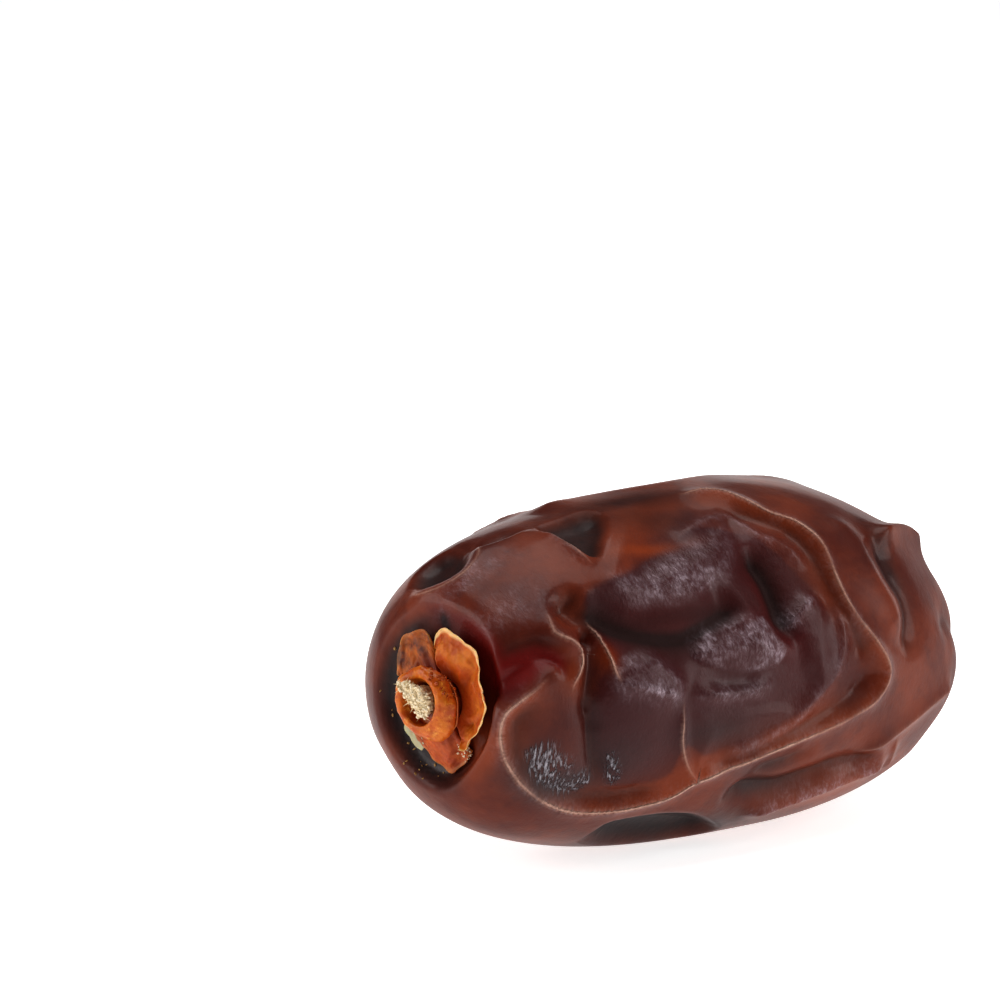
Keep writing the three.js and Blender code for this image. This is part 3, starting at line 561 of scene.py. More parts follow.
def area(soft_edge, outline):
    """1 inside a closed outline, 0 outside, with a soft inner edge in millimetres."""
    return smooth(inward_distance(outline) / soft_edge)


def sunk(name, soft_edge):
    """The same for one of the panels."""
    return smooth(inward[name] / soft_edge)


def beside(name, reach):
    """1 on a wrinkle's line, falling off over the given reach in millimetres."""
    distance, _, ends, _ = paths[name]
    return ends * np.exp(-distance / reach)


def valley(name):
    """A rounder band along a wrinkle, for shade painted along a valley."""
    distance, _, ends, _ = paths[name]
    return ends * np.exp(-(distance / VALLEY_SHADE_REACH) ** 2)


local = to_seat(skin_points)
seat_radius = np.hypot(local[:, 0], local[:, 1])
apart = np.maximum(seat_radius, 1)
seat_side = smooth(0.35 - local[:, 0] / apart - 0.3 * local[:, 1] / apart)
in_seat = (1 - smooth((seat_radius - SEAT_EDGE) / SEAT_FADE)) * (local[:, 2] > -SEAT_DEPTH)
painted_seat_light = in_seat * smooth(local[:, 0] / apart) * smooth(-local[:, 1] / 2)
in_big = inward["big"]
painted_rim_glow = paths["rim"][2] * np.exp(-in_big / 0.9) * (in_big > 0)

plum = area(0.5, PLUM_OUTLINE) + 0.45 * smooth(in_big - 0.8) + sunk("back", 2.5)
# Painted glow: amber light through thin skin inside the rim, on the shelf and a few spots, and amber painted
# on the seat's lower front as light
painted_amber_glow = strongest(
    area(1.2, SHELF) * 0.35, painted_rim_glow, 0.7 * painted_seat_light,
    ovals(((64, 59), (3.2, 0.5), 0.8), ((96, -44), (4.0, 2.0), 0.7), ((40, 14), (1.2, 1.2), 0.6),
          ((48, 22), (0.8, 1.0), 0.7)))
# Painted glow: deep red light through thin skin in the red hollow, the calyx notch and the seat's upper side
painted_red_glow = strongest(
    sunk("red_hollow", 0.9), 0.8 * beside("calyx_notch", 0.9),
    in_seat * (1 - seat_side) * 0.8 * smooth(local[:, 1] / 2),
    ovals(((62, 29), (6.0, 1.2), 0.6), ((82, 32), (1.2, 3.5), 0.5), ((16, 73), (1.0, 1.2), 1.0)))
# Painted shade: valleys, the calyx notch, hollows and the skin behind the shelf are painted darker
painted_shade = strongest(
    0.8 * valley("red_valley"), 0.8 * valley("right_valley"), 0.9 * beside("calyx_notch", 0.4),
    0.5 * sunk("grey_hollow", 0.9), 0.45 * sunk("under", 1.4),
    ovals(((65, 31.5), (6.5, 0.9), 0.75), ((71, 86), (5.0, 1.4), 0.9), ((70, 75), (3.5, 1.6), 0.6),
          ((30, -90), (6.0, 3.0), 0.3)))
# Painted shade, a dark slate grey: the dent, the grey hollow, the seat's far side, the underside and small
# hollows
painted_hollow_shade = strongest(
    0.85 * sunk("dent", 0.8), 0.85 * sunk("grey_hollow", 0.9), in_seat * seat_side, sunk("under", 1.4),
    ovals(((80, -37), (3.2, 0.9), 0.8), ((79, -27), (2.0, 0.8), 0.6), ((70, -60), (6.0, 2.2), 1.0),
          ((31, -24), (1.6, 1.3), 0.6), ((38, -30), (3.0, 1.0), 0.9), ((49, -19), (2.0, 1.6), 0.5),
          ((68, -11), (3.0, 1.0), 0.5), ((113, 38), (0.8, 3.5), 0.6)))
# The lobe's glossy band: smoother skin, with painted glints and a dark blue-black tint that paints its bluish
# sheen
pleat_gloss_and_sheen = strongest(
    area(0.5, LOBE_GLOSS) * (1 - smooth((in_big - 1.4) / 2.2)), 0.8 * area(0.5, RIGHT_GLOSS))
# Wax bloom on raised skin, painted lighter where a sheen of light lies on it
bloom_and_sheen = strongest(
    0.55 * sunk("lump_near", 0.5),
    sunk("lump_far", 0.4) * (1 - ovals(((71.5, 12), (2.2, 0.9), 0.7))),
    sunk("upper", 1.2) * (0.35 + ovals(((67, 42), (3.6, 1.8), 0.65))),
    ovals(((30, 77), (2.5, 0.8), 0.6), ((31, 52), (2.4, 1.2), 0.35)),
    *[strength * beside(name, reach) for name, (strength, reach) in BLOOM_AND_SHEEN_LINES.items()])
tip = smooth((plain[:, 0] - 5) / 8)
attributes = dict(line_at=line_at, line_along=line_along, line_strength=line_strength, crease=crease,
                  plum=plum.clip(0, 1), painted_amber_glow=painted_amber_glow, painted_red_glow=painted_red_glow, painted_shade=painted_shade, painted_hollow_shade=painted_hollow_shade, pleat_gloss_and_sheen=pleat_gloss_and_sheen,
                  bloom_and_sheen=bloom_and_sheen, tip=tip)
for name, values in attributes.items():
    store(fruit, name, values)
print("stored on the skin:", ", ".join(attributes))

# %% [markdown]
# ## Materials
# A finish is easier to read as a sum than as boxes and wires. The small class below stands for a wire in a
# node tree: adding or multiplying two of them adds the Math node that does it.

# %% Shader helpers
class Wire:
    """A value in a node tree that can be added, multiplied and so on."""

    def __init__(self, tree, socket):
        self.tree = tree
        self.socket = socket

    def join(self, operation, other, swap=False, clamp=False):
        pair = (other, self) if swap else (self, other)
        settings = dict(operation=operation, use_clamp=clamp)
        made = add_node(self.tree, "ShaderNodeMath", settings, dict(enumerate(pair)))
        return Wire(self.tree, made.outputs[0])

    def __add__(self, other):
        return self.join("ADD", other)

    def __sub__(self, other):
        return self.join("SUBTRACT", other)

    def __rsub__(self, other):
        return self.join("SUBTRACT", other, swap=True)

    def __mul__(self, other):
        return self.join("MULTIPLY", other)

    def __abs__(self):
        return self.join("ABSOLUTE", 0.0)

    def clamp(self):
        return self.join("ADD", 0.0, clamp=True)

    __radd__ = __add__
    __rmul__ = __mul__


def plug(tree, socket, value):
    """Sets a socket: a wire is linked, a colour gets its alpha, and a number is set as it is."""
    if isinstance(value, Wire):
        tree.links.new(value.socket, socket)
    elif socket.type == "RGBA":
        socket.default_value = (*value, 1)
    else:
        socket.default_value = value


def add_node(tree, kind, settings, inputs):
    """A new node, with its settings made and its inputs plugged."""
    made = tree.nodes.new(kind)
    for name, value in settings.items():
        setattr(made, name, value)
    for place, value in inputs.items():
        plug(tree, made.inputs[place], value)
    return made


class Finish:
    """A material with one Principled shader, and short ways to make the nodes that feed it."""

    def __init__(self, name):
        self.material = bpy.data.materials.new(name)
        self.material.use_nodes = True
        self.tree = self.material.node_tree
        self.shader = self.tree.nodes["Principled BSDF"]
        self.place = self.node("ShaderNodeTexCoord", {}, {}, "Object")

    def node(self, kind, settings, inputs, output):
        return Wire(self.tree, add_node(self.tree, kind, settings, inputs).outputs[output])

    def attributes(self, *names):
        """The numbers stored on the mesh under these names."""
        return [self.node("ShaderNodeAttribute", dict(attribute_name=name), {}, "Fac") for name in names]

    def noise(self, scale, detail=2.0, roughness=0.5, stretch=(1, 1, 1), distortion=0.0):
        """Noise with about so many lumps a metre."""
        place = self.node("ShaderNodeMapping", {}, dict(Vector=self.place, Scale=stretch), "Vector")
        inputs = dict(Vector=place, Scale=scale, Detail=detail, Roughness=roughness, Distortion=distortion)
        return self.node("ShaderNodeTexNoise", {}, inputs, "Fac")

    def hatch(self, along, across):
        """Short strokes across a line, from how far along it and off it a point is."""
        place = self.node("ShaderNodeCombineXYZ", {}, dict(X=along, Y=across), "Vector")
        inputs = dict(Vector=place, Scale=1.0, Detail=2.0, Roughness=0.6)
        return self.node("ShaderNodeTexNoise", {}, inputs, "Fac")

    def ramp(self, value, low, high):
        """0 below low, 1 above high, smooth between."""
        inputs = {"Value": value, "From Min": low, "From Max": high}
        return self.node("ShaderNodeMapRange", dict(interpolation_type="SMOOTHSTEP"), inputs, "Result")

    def mix(self, share, first, second):
        """A colour between two; a colour Mix node keeps its factor, A and B at places 0, 6 and 7."""
        inputs = {0: share, 6: first, 7: second}
        return self.node("ShaderNodeMix", dict(data_type="RGBA", clamp_factor=True), inputs, 2)

    def over(self, colour, *layers):
        """A colour with others laid over it in turn, each given as its share and itself."""
        for share, layer in layers:
            colour = self.mix(share, colour, layer)
        return colour

    def bump(self, height, distance_mm, strength, under=None):
        inputs = dict(Height=height, Distance=distance_mm * MM, Strength=strength)
        if under is not None:
            inputs["Normal"] = under
        return self.node("ShaderNodeBump", {}, inputs, "Normal")

    def feed(self, **sockets):
        for name, value in sockets.items():
            plug(self.tree, self.shader.inputs[name.replace("_", " ")], value)

    def put_on(self, piece):
        piece.data.materials.append(self.material)
        print("finish", self.material.name, "has", len(self.tree.nodes), "nodes")


# %% [markdown]
# The skin is one finish fed by the numbers stored above. Its base is a dark red brown; plum is laid over it
# where it belongs, then a painted amber and deep red glow, painted slate grey shade in hollows and dark shade
# in creases and valleys, a thin bloom of wax on what stands up painted lighter as a sheen, a painted
# blue-black sheen and painted glints on the lobe's glossy band, and last the pale crest lines, partly a
# painted highlight.

# %% Skin
def skin_finish():
    f = Finish("date_skin")
    crease, plum, painted_amber_glow, painted_red_glow = f.attributes("crease", "plum", "painted_amber_glow", "painted_red_glow")
    painted_shade, painted_hollow_shade, pleat_gloss_and_sheen, bloom_and_sheen, tip = f.attributes("painted_shade", "painted_hollow_shade", "pleat_gloss_and_sheen", "bloom_and_sheen", "tip")
    line_at, line_along, line_strength = f.attributes("line_at", "line_along", "line_strength")
    blotch = f.noise(160, detail=4, roughness=0.6)
    mottle = f.noise(520, detail=4, roughness=0.65)
    speckle = f.noise(1500, detail=3, roughness=0.6)
    wrinkle = f.noise(5200, detail=3, roughness=0.6, stretch=(1.0, 0.45, 0.6), distortion=0.4)
    stripes = f.noise(6200, detail=2, roughness=0.6, stretch=(1.0, 0.9, 0.05), distortion=0.1)
    hatch = f.hatch(line_along * 5.0, line_at * 0.8)
    off_line = abs(line_at)
    frayed = 0.55 * (1 - f.ramp(off_line + 0.30 * hatch, 0.10, 0.44))
    line = (frayed + 0.6 * (1 - f.ramp(off_line, 0.03, 0.12))) * line_strength
    line = line * (0.25 + 0.6 * f.ramp(mottle, 0.35, 0.65) + 0.5 * f.ramp(blotch, 0.35, 0.60))
    # the bloom is drawn as pale strokes: wax, and a painted sheen
    sheen = f.ramp(f.noise(1100, detail=2, stretch=(1.0, 0.6, 0.8)), 0.38, 0.62)
    painted_sheen_strokes = bloom_and_sheen * (0.3 + 0.7 * sheen) * (0.35 + 0.65 * f.ramp(wrinkle, 0.42, 0.66))
    # painted glints: pale streaks on the lobe's glossy band
    painted_glints = f.ramp(stripes + 0.12 * pleat_gloss_and_sheen, 0.54, 0.74) * f.ramp(pleat_gloss_and_sheen, 0.02, 0.9)
    painted_glints = painted_glints * f.ramp(mottle, 0.28, 0.55)
    brown = f.mix(f.ramp(blotch, 0.35, 0.68), (0.090, 0.011, 0.003), (0.180, 0.032, 0.008))
    skin = f.over(
        brown,
        (f.ramp(mottle, 0.50, 0.72) * 0.45, (0.060, 0.006, 0.002)),
        (plum * (0.75 + 0.4 * blotch), (0.055, 0.008, 0.009)),
        # painted amber glow
        (painted_amber_glow * f.ramp(blotch, 0.2, 0.55), (0.26, 0.046, 0.004)),
        # painted deep red glow
        (painted_red_glow * 0.95, (0.150, 0.003, 0.002)),
        # dark slate grey painted shade in hollows
        (painted_hollow_shade * (0.7 + 0.5 * speckle), (0.020, 0.014, 0.015)),
        # painted shade in creases, valleys and hollows
        (crease * 0.7 + painted_shade * 0.85, (0.022, 0.003, 0.002)),
        # wax bloom and painted sheen
        (painted_sheen_strokes * 0.60, (0.46, 0.38, 0.42)),
        # painted blue-black sheen, then painted glints, on the glossy band
        (pleat_gloss_and_sheen * 0.4, (0.030, 0.012, 0.016)),
        (painted_glints * 0.60, (0.55, 0.53, 0.58)),
        # pale crest lines: pale skin and a painted highlight
        (line * 0.85, (0.54, 0.33, 0.26)))
    broad = f.noise(380, detail=3, roughness=0.5)
    fine = f.noise(6000, detail=2, roughness=0.6)
    folds = f.bump(broad, 0.25, 0.5)
    height = wrinkle * (0.20 + 1.2 * bloom_and_sheen) + painted_glints * 3.0 + line * hatch * 4.0
    wrinkled = f.bump(height, 0.08, 1.0, under=folds)
    grained = f.bump(fine, 0.02, 0.6, under=wrinkled)
    rough = 0.48 + 0.1 * blotch - 0.10 * painted_hollow_shade - 0.10 * plum - 0.12 * bloom_and_sheen
    rough = rough - 0.2 * pleat_gloss_and_sheen + 0.3 * painted_shade + 0.10 * tip
    coat = 0.25 - 0.2 * painted_shade - 0.2 * tip - 0.14 * plum
    f.feed(Base_Color=skin, Normal=grained, Roughness=rough.clamp(), Metallic=painted_sheen_strokes * 0.40, IOR=1.36)
    f.feed(Coat_Weight=coat.clamp(), Coat_Roughness=0.15, Coat_IOR=1.40)
    return f


skin_finish().put_on(fruit)

# %% [markdown]
# ## The calyx
# Three dry petals lie round a cup, which holds the torn stub of the stalk. A petal is a sheet: a grid of
# points from its root out to its rim, once for the upper face and once for the lower, joined round the
# edge. Crinkles come from a sum of waves in chance directions, always the same ones because the seed is
# fixed.

# %% Sheets and turned shapes
GAP = 0.3                   # between touching pieces, as in the CAD model
PETAL_START = 1.45          # radius where the petals begin
CUP_CENTRE = np.array([-0.10, -0.30])
MOUTH_CENTRE = np.array([-0.55, 0.15])
CUP_TOP = 2.5
CUP_TALL = 1.08             # how much taller the cup is than wide


def ripple(points, size, seed, waves=16):
    """A smooth chance number for each point, about -1 to 1, that changes over the given size."""
    chance = np.random.default_rng(seed)
    ways = unit(chance.normal(size=(waves, 3))) * chance.uniform(0.7, 1.5, (waves, 1)) * 2 * math.pi / size
    return np.sin(points @ ways.T + chance.uniform(0, 2 * math.pi, waves)).sum(axis=1) / math.sqrt(waves / 2)


def ripples(points, *layers):
    """Several ripples added up: (height, size, seed)."""
    return sum(height * ripple(points, size, seed) for height, size, seed in layers)


def along_spline(points, share):
    """Coordinates at the given shares (0 to 1) of a smooth line through the points."""
    line = spline(points)
    place = np.asarray(share) * (len(line) - 1)
    return np.stack([np.interp(place, np.arange(len(line)), column) for column in line.T], axis=-1)


def taper(share, steepness, least):
    """Thins a shape towards an edge, where the share is 0."""
    return np.sqrt(np.clip(share * steepness, least, 1))


def sheet(x, y, height, thick):
    """A closed sheet over a grid of places, as far above the height as below it."""
    rows, columns = x.shape
    count = rows * columns
    rows_edge = np.arange(rows) * columns
    columns_edge = np.arange(columns)
    loop = np.concatenate([columns_edge[:-1], rows_edge[:-1] + columns - 1,
                           (rows - 1) * columns + columns_edge[:0:-1], rows_edge[:0:-1]])
    after = np.roll(loop, -1)
    faces = np.concatenate([grid_faces(rows, columns), grid_faces(rows, columns, count)[:, ::-1],
                            np.stack([loop, after, after + count, loop + count], axis=-1)])
    levels = (height + thick / 2, height - thick / 2)
    return np.concatenate([np.stack([x, y, z], axis=-1).reshape(-1, 3) for z in levels]), faces


def turned(rings):
    """A closed body from rings of points (ring, step round), with a point in the middle of both ends."""
    count, around, _ = rings.shape
    i, j = np.meshgrid(np.arange(count - 1), np.arange(around), indexing="ij")
    here = i * around + j
    beside = i * around + (j + 1) % around
    quads = np.stack([here, beside, beside + around, here + around], axis=-1).reshape(-1, 4).tolist()
    step = np.arange(around)
    last = (count - 1) * around
    low, high = count * around, count * around + 1
    quads += [[low, (k + 1) % around, k] for k in step]
    quads += [[high, last + k, last + (k + 1) % around] for k in step]
    points = np.concatenate([rings.reshape(-1, 3), rings[0].mean(axis=0)[None], rings[-1].mean(axis=0)[None]])
    return points, quads


def outward(points, faces):
    """The faces, turned over if they enclose less than nothing."""
    volume = 0.0
    for face in faces:
        a, b, c = points[face[0]], points[face[1]], points[face[2]]
        volume += a @ np.cross(b, c)
        if len(face) == 4:
            volume += a @ np.cross(c, points[face[3]])
    return faces if volume > 0 else [list(face)[::-1] for face in faces]


def add_calyx_piece(name, parts, node):
    """One object from closed bodies in the seat's frame; it takes the place of a CAD node."""
    points = np.zeros((0, 3))
    faces = []
    for body, body_faces in parts:
        faces += [[k + len(points) for k in face] for face in outward(body, body_faces)]
        points = np.concatenate([points, body])
    piece = add_mesh(name, from_seat(points), faces)
    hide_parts(node)
    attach(piece, "root")
    print(name + ":", len(faces), "faces")
    return piece


# %% Petals
PETALS = {                  # rim as (degrees round from the front, radius), its lift, swell of the middle
    "petal_front": ([(99, 3.3), (95, 3.9), (88, 4.3), (80, 4.25), (70, 4.12), (53, 4.15), (39, 3.85),
        (23, 3.7), (6, 3.8), (-8, 3.65), (-23, 3.4), (-36, 3.25), (-50, 3.35), (-57, 3.1)], 0.85, 0.08),
    "petal_top": ([(102, 3.2), (105, 3.75), (109, 4.15), (115, 4.4), (124, 4.5), (134, 4.6), (142, 4.25),
        (152, 3.95), (163, 3.6)], 0.35, 0.30),
    "petal_bottom": ([(-152, 3.5), (-140, 3.7), (-126, 3.7), (-112, 3.85), (-100, 4.1), (-88, 4.3),
        (-79, 4.0), (-66, 3.55), (-60, 3.3)], -0.05, 0.15),
}
FLAKE = [(-152, 3.9), (-147, 4.2), (-138, 4.15), (-130, 4.1), (-122, 3.9)]
RIM_STARTS = 0.90           # share of the way out where the pale rim begins
RIM_BLEND = 0.06


def petal(rim, curl, swell, seed, steps=(44, 120), start=PETAL_START, base=GAP + 0.3,
          root_thick=0.5, rim_thick=0.13):
    """A petal's sheet, and for each point its share of the way out and its degrees round."""
    out, across = np.meshgrid(np.linspace(0, 1, steps[0]), np.linspace(0, 1, steps[1]), indexing="ij")
    rim_line = along_spline(rim, across.ravel()).reshape(*across.shape, 2)
    angle = np.radians(rim_line[..., 0])
    flat = np.stack([out * 3, angle * 3, np.zeros_like(out)], axis=-1).reshape(-1, 3)
    ragged = 1 + 0.012 * ripple(flat, 0.9, seed).reshape(out.shape) * out ** 4
    radius = start + (rim_line[..., 1] * ragged - start) * out
    crinkle = ripples(flat, (0.05, 1.1, seed + 1), (0.018, 0.4, seed + 2)).reshape(out.shape)
    height = base + curl * out ** 3 + swell * np.sin(math.pi * out) ** 2 + crinkle * out
    ends = taper(np.minimum(across, 1 - across), 14, 0.06)
    thick = (root_thick + (rim_thick - root_thick) * smooth(out * 1.3)) * ends * taper(1 - out, 12, 0.25)
    body = sheet(radius * np.cos(angle), radius * np.sin(angle), height, thick)
    return body, np.tile(out.ravel(), 2), np.tile(np.degrees(angle).ravel(), 2)


def fold(degrees_round, out, middle, width, depth):
    """A crease in a petal along one direction, deeper outwards."""
    return -depth * np.exp(-((degrees_round - middle) / width) ** 2) * smooth(out * 2)


petals = {}
for seed, (name, (rim, curl, swell)) in enumerate(PETALS.items()):
    (points, faces), out, degrees_round = petal(rim, curl, swell, 10 * seed + 3)
    if name == "petal_front":
        upper_lobe = smooth((degrees_round - 38) / 14)
        points[:, 2] += upper_lobe * (0.40 * np.sin(math.pi * out) ** 2 - 0.45 * out ** 3)
        points[:, 2] += fold(degrees_round, out, 40, 6, 0.22) + fold(degrees_round, out, -28, 7, 0.2)
    if name == "petal_top":
        points[:, 2] += fold(degrees_round, out, 132, 6, 0.2) + fold(degrees_round, out, 114, 5, 0.12)
    if name == "petal_bottom":
        points[:, 2] += fold(degrees_round, out, -74, 6, 0.2) - 0.25 * out ** 2
    bodies = [(points, faces)]
    flake = np.zeros(len(points))
    rim_share = smooth((out - RIM_STARTS) / RIM_BLEND)
    if name == "petal_bottom":
        more, flake_out, _ = petal(FLAKE, 0.05, 0, 77, (16, 40), 2.6, 0.28, 0.16, 0.1)
        bodies.append(more)
        rim_share = np.concatenate([rim_share, np.zeros(len(flake_out))])
        flake = np.concatenate([flake, np.ones(len(flake_out))])
        out = np.concatenate([out, flake_out])
    petals[name] = add_calyx_piece(name + "_sheet", bodies, name)
    for label, values in dict(rim=rim_share, flake=flake, out=out).items():
        store(petals[name], label, values)

# %% [markdown]
# The cup is a turned shape whose mouth is moved off its middle. A thin ledge of an older layer stands out
# below it.

# %% Cup
CUP_OUTLINE = [             # radius and height, from the root up the outside and down into the mouth
    (1.1, -1.1), (1.1, 1.1), (1.45, 1.2), (1.8, 1.4), (1.98, 1.75), (1.95, 2.15), (1.75, 2.42),
    (1.5, CUP_TOP), (1.33, 2.42), (1.25, 2.1), (1.1, 1.6), (0.5, 1.45)]
LEDGE = [(-60, 1.7), (-45, 1.85), (-20, 1.9), (5, 1.9), (30, 2.0), (50, 2.1), (68, 2.0)]
LEDGE_START = 1.2           # radius where the ledge begins


def cup_body():
    outline = along_spline(CUP_OUTLINE, np.linspace(0, 1, 90))
    angle = np.linspace(0, 2 * math.pi, 160, endpoint=False)
    radius, height = outline[:, :1], outline[:, 1:]
    moved = smooth((height - 1.2) / (CUP_TOP - 1.2))
    root = smooth((height - 1.15) / 0.3)
    centre = root[..., None] * CUP_CENTRE + moved[..., None] * (MOUTH_CENTRE - CUP_CENTRE)
    x = centre[..., 0] + radius * np.cos(angle)
    y = centre[..., 1] + radius * np.sin(angle) * (1 + (CUP_TALL - 1) * root)
    rings = np.stack([x, y, height + 0 * angle], axis=-1)
    swell = ripples(rings.reshape(-1, 3), (0.04, 1.9, 5), (0.012, 0.7, 6), (0.005, 0.3, 7))
    outwards = np.stack([np.cos(angle) + 0 * radius, np.sin(angle) + 0 * radius, 0.6 + 0 * x], axis=-1)
    return turned(rings + outwards * (swell.reshape(x.shape) * root)[..., None])


def ledge_body():
    out, across = np.meshgrid(np.linspace(0, 1, 14), np.linspace(0, 1, 90), indexing="ij")
    edge = along_spline(LEDGE, across.ravel()).reshape(*across.shape, 2)
    angle = np.radians(edge[..., 0])
    radius = LEDGE_START + (edge[..., 1] - LEDGE_START) * out
    x = CUP_CENTRE[0] + radius * np.cos(angle)
    y = CUP_CENTRE[1] + radius * np.sin(angle)
    flat = np.stack([x, y, 0 * x], axis=-1).reshape(-1, 3)
    height = 1.22 + 0.38 * out ** 3 + (0.03 * ripple(flat, 0.8, 8) * out.ravel()).reshape(x.shape)
    thick = 0.14 * taper(np.minimum(across, 1 - across), 12, 0.1) * taper(1 - out, 9, 0.3)
    return sheet(x, y, height, thick)


cup_parts = [cup_body(), ledge_body()]
cup = add_calyx_piece("cup_body", cup_parts, "sepal_cup")
cup_points = np.concatenate([points for points, _ in cup_parts])
mouth_radius = np.hypot(*(cup_points[:, :2] - MOUTH_CENTRE).T)
painted_mouth_shade = 1 - smooth((mouth_radius - 0.95) / 0.25)
# painted shade inside the cup's mouth
store(cup, "inside", painted_mouth_shade * smooth((CUP_TOP - 0.05 - cup_points[:, 2]) / 0.5))
store(cup, "ledge", np.arange(len(cup_points)) >= len(cup_parts[0][0]))
store(cup, "low", smooth((2.2 - cup_points[:, 2]) / 0.8))

# %% [markdown]
# The stub is a plug of torn fibres: an oval post, slanted at the top towards its one long tip.

# %% Stub
STUB_MIDDLE = MOUTH_CENTRE + [0.10, 0.0]
STUB_FOOT = 1.75
STUB_RIM = [                # degrees round, and radius at the top
    (139, 1.62), (124, 1.35), (94, 0.98), (52, 0.82), (14, 0.80), (-16, 0.84), (-50, 0.95), (-73, 1.02),
    (-90, 0.92), (-112, 0.62), (-160, 0.5), (-187, 0.62), (-211, 1.15), (-221, 1.62)]
STUB_NECK = 0.85            # largest radius where it stands in the mouth
STUB_TALL = 2.65            # height of its top in the middle
STUB_SLANT = 0.30           # rise of its top towards the long tip, for each millimetre


def stub_body():
    rise = np.linspace(0, 1, 60)[:, None]
    angle, rim = along_spline(STUB_RIM, np.linspace(0, 1, 121)[:-1]).T
    angle = np.radians(angle)
    spread = smooth((rise - 0.55) / 0.25)
    radius = np.minimum(rim, STUB_NECK) * (1 - spread) + rim * spread
    radius = radius * taper(1 - rise, 9, 0.0004)
    x = STUB_MIDDLE[0] + radius * np.cos(angle)
    y = STUB_MIDDLE[1] + radius * np.sin(angle)
    toward_tip = (y - STUB_MIDDLE[1] - x + STUB_MIDDLE[0]) / math.sqrt(2)
    top = STUB_TALL + STUB_SLANT * toward_tip
    z = STUB_FOOT + (top - STUB_FOOT) * np.minimum(rise / 0.9, 1)
    rings = np.stack([x, y, z + 0 * x], axis=-1)
    flat = rings.reshape(-1, 3)
    upright = flat * [1, 1, 0.1]
    fibres = 0.04 * ripple(flat * [3.0, 3.0, 0.6], 0.8, 21) + 0.03 * ripple(flat, 0.25, 22)
    grains = ripples(upright, (0.06, 0.45, 23), (0.04, 0.25, 24))
    flank = smooth(rise * 6) * (1 - smooth((rise - 0.86) / 0.05))
    rings[..., 0] += np.cos(angle) * flank * fibres.reshape(x.shape)
    rings[..., 1] += np.sin(angle) * flank * fibres.reshape(x.shape)
    rings[..., 2] += smooth((rise - 0.7) / 0.2) * grains.reshape(x.shape) * smooth(radius / 0.25)
    return turned(rings)


stub = add_calyx_piece("stub_body", [stub_body()], "stalk_stub")


# %% [markdown]
# Dry calyx is orange and lets a little light through. The petals pale to cream at the front rim, the cup's
# mouth is painted dark as shade, and pale flecks on the cup are painted glints.

# %% Calyx finishes
PALE_RIM = (0.80, 0.52, 0.26)
FLAKE_COLOUR = (0.44, 0.43, 0.28)
GLOW = dict(Subsurface_Radius=(1.0, 0.35, 0.1), Subsurface_Scale=0.0006)    # red light goes deepest


def petal_finish(name, low, high, root, pale_rim):
    f = Finish(name)
    rim, out, flake = f.attributes("rim", "out", "flake")
    blotch = f.noise(900, detail=4, roughness=0.6)
    veins = f.noise(2600, detail=2, roughness=0.5, stretch=(0.6, 1.0, 1.0), distortion=0.6)
    base = f.over(
        f.mix(f.ramp(blotch, 0.35, 0.65), low, high),
        ((1 - f.ramp(out, 0.25, 0.62)) * 0.8, root),
        (rim * (0.45 + 0.9 * veins) * pale_rim, PALE_RIM),
        (flake * 0.9, FLAKE_COLOUR))
    f.feed(Base_Color=base, Roughness=0.40 + 0.2 * blotch, IOR=1.4, Subsurface_Weight=0.25, **GLOW)
    f.feed(Normal=f.bump(veins, 0.05, 0.7, under=f.bump(blotch, 0.12, 0.6)))
    return f


def cup_finish():
    f = Finish("cup")
    inside, ledge, low = f.attributes("inside", "ledge", "low")
    blotch = f.noise(700, detail=4, roughness=0.6)
    grain = f.noise(2600, detail=4, roughness=0.65)
    base = f.mix(f.ramp(blotch, 0.35, 0.66), (0.40, 0.085, 0.010), (0.58, 0.18, 0.018))
    base = f.over(
        f.mix(f.ramp(grain, 0.30, 0.48), (0.40, 0.060, 0.008), base),
        # painted glints: pale yellow flecks where the grain is high
        (f.ramp(grain, 0.55, 0.72) * 0.6, (0.78, 0.42, 0.09)),
        (low * 0.5, (0.46, 0.065, 0.008)),
        # painted shade in the mouth
        (inside * 0.85, (0.16, 0.022, 0.006)),
        (ledge * 0.6, (0.62, 0.24, 0.10)))
    f.feed(Base_Color=base, Roughness=0.20 + 0.25 * blotch, IOR=1.42, Subsurface_Weight=0.2, **GLOW)
    f.feed(Normal=f.bump(grain, 0.06, 0.7, under=f.bump(blotch, 0.12, 0.6)))
    return f


def stub_finish():
    f = Finish("stub")
    fibres = f.noise(3400, detail=3, roughness=0.7, stretch=(1.0, 1.0, 0.5))
    blotch = f.noise(1500, detail=3, roughness=0.6)
    base = f.mix(f.ramp(fibres, 0.30, 0.55), (0.46, 0.33, 0.18), (0.78, 0.65, 0.45))
    base = f.mix(f.ramp(blotch, 0.60, 0.72) * 0.5, base, (0.40, 0.18, 0.05))
    f.feed(Base_Color=base, Roughness=0.7, IOR=1.35, Normal=f.bump(fibres, 0.12, 1.0))
    return f


PETAL_COLOURS = {           # low, high and root colour, and how pale the rim is
    "petal_front": ((0.40, 0.080, 0.010), (0.55, 0.17, 0.018), (0.42, 0.070, 0.008), 1.0),
    "petal_top": ((0.10, 0.024, 0.014), (0.42, 0.12, 0.018), (0.24, 0.035, 0.007), 0.12),
    "petal_bottom": ((0.32, 0.052, 0.010), (0.47, 0.115, 0.022), (0.26, 0.042, 0.010), 0.2),
}
for name, look in PETAL_COLOURS.items():
    petal_finish(name, *look).put_on(petals[name])
cup_finish().put_on(cup)
stub_finish().put_on(stub)

# %% [markdown]
# ## Crumbs, beads and grit
# Geometry Nodes suit small things that lie scattered over a surface. Points are dropped where a number
# stored on the surface says so, one small shape is put on each, turned and sized by chance, and the copies
# become one mesh. A fixed seed drops them in the same places every time.

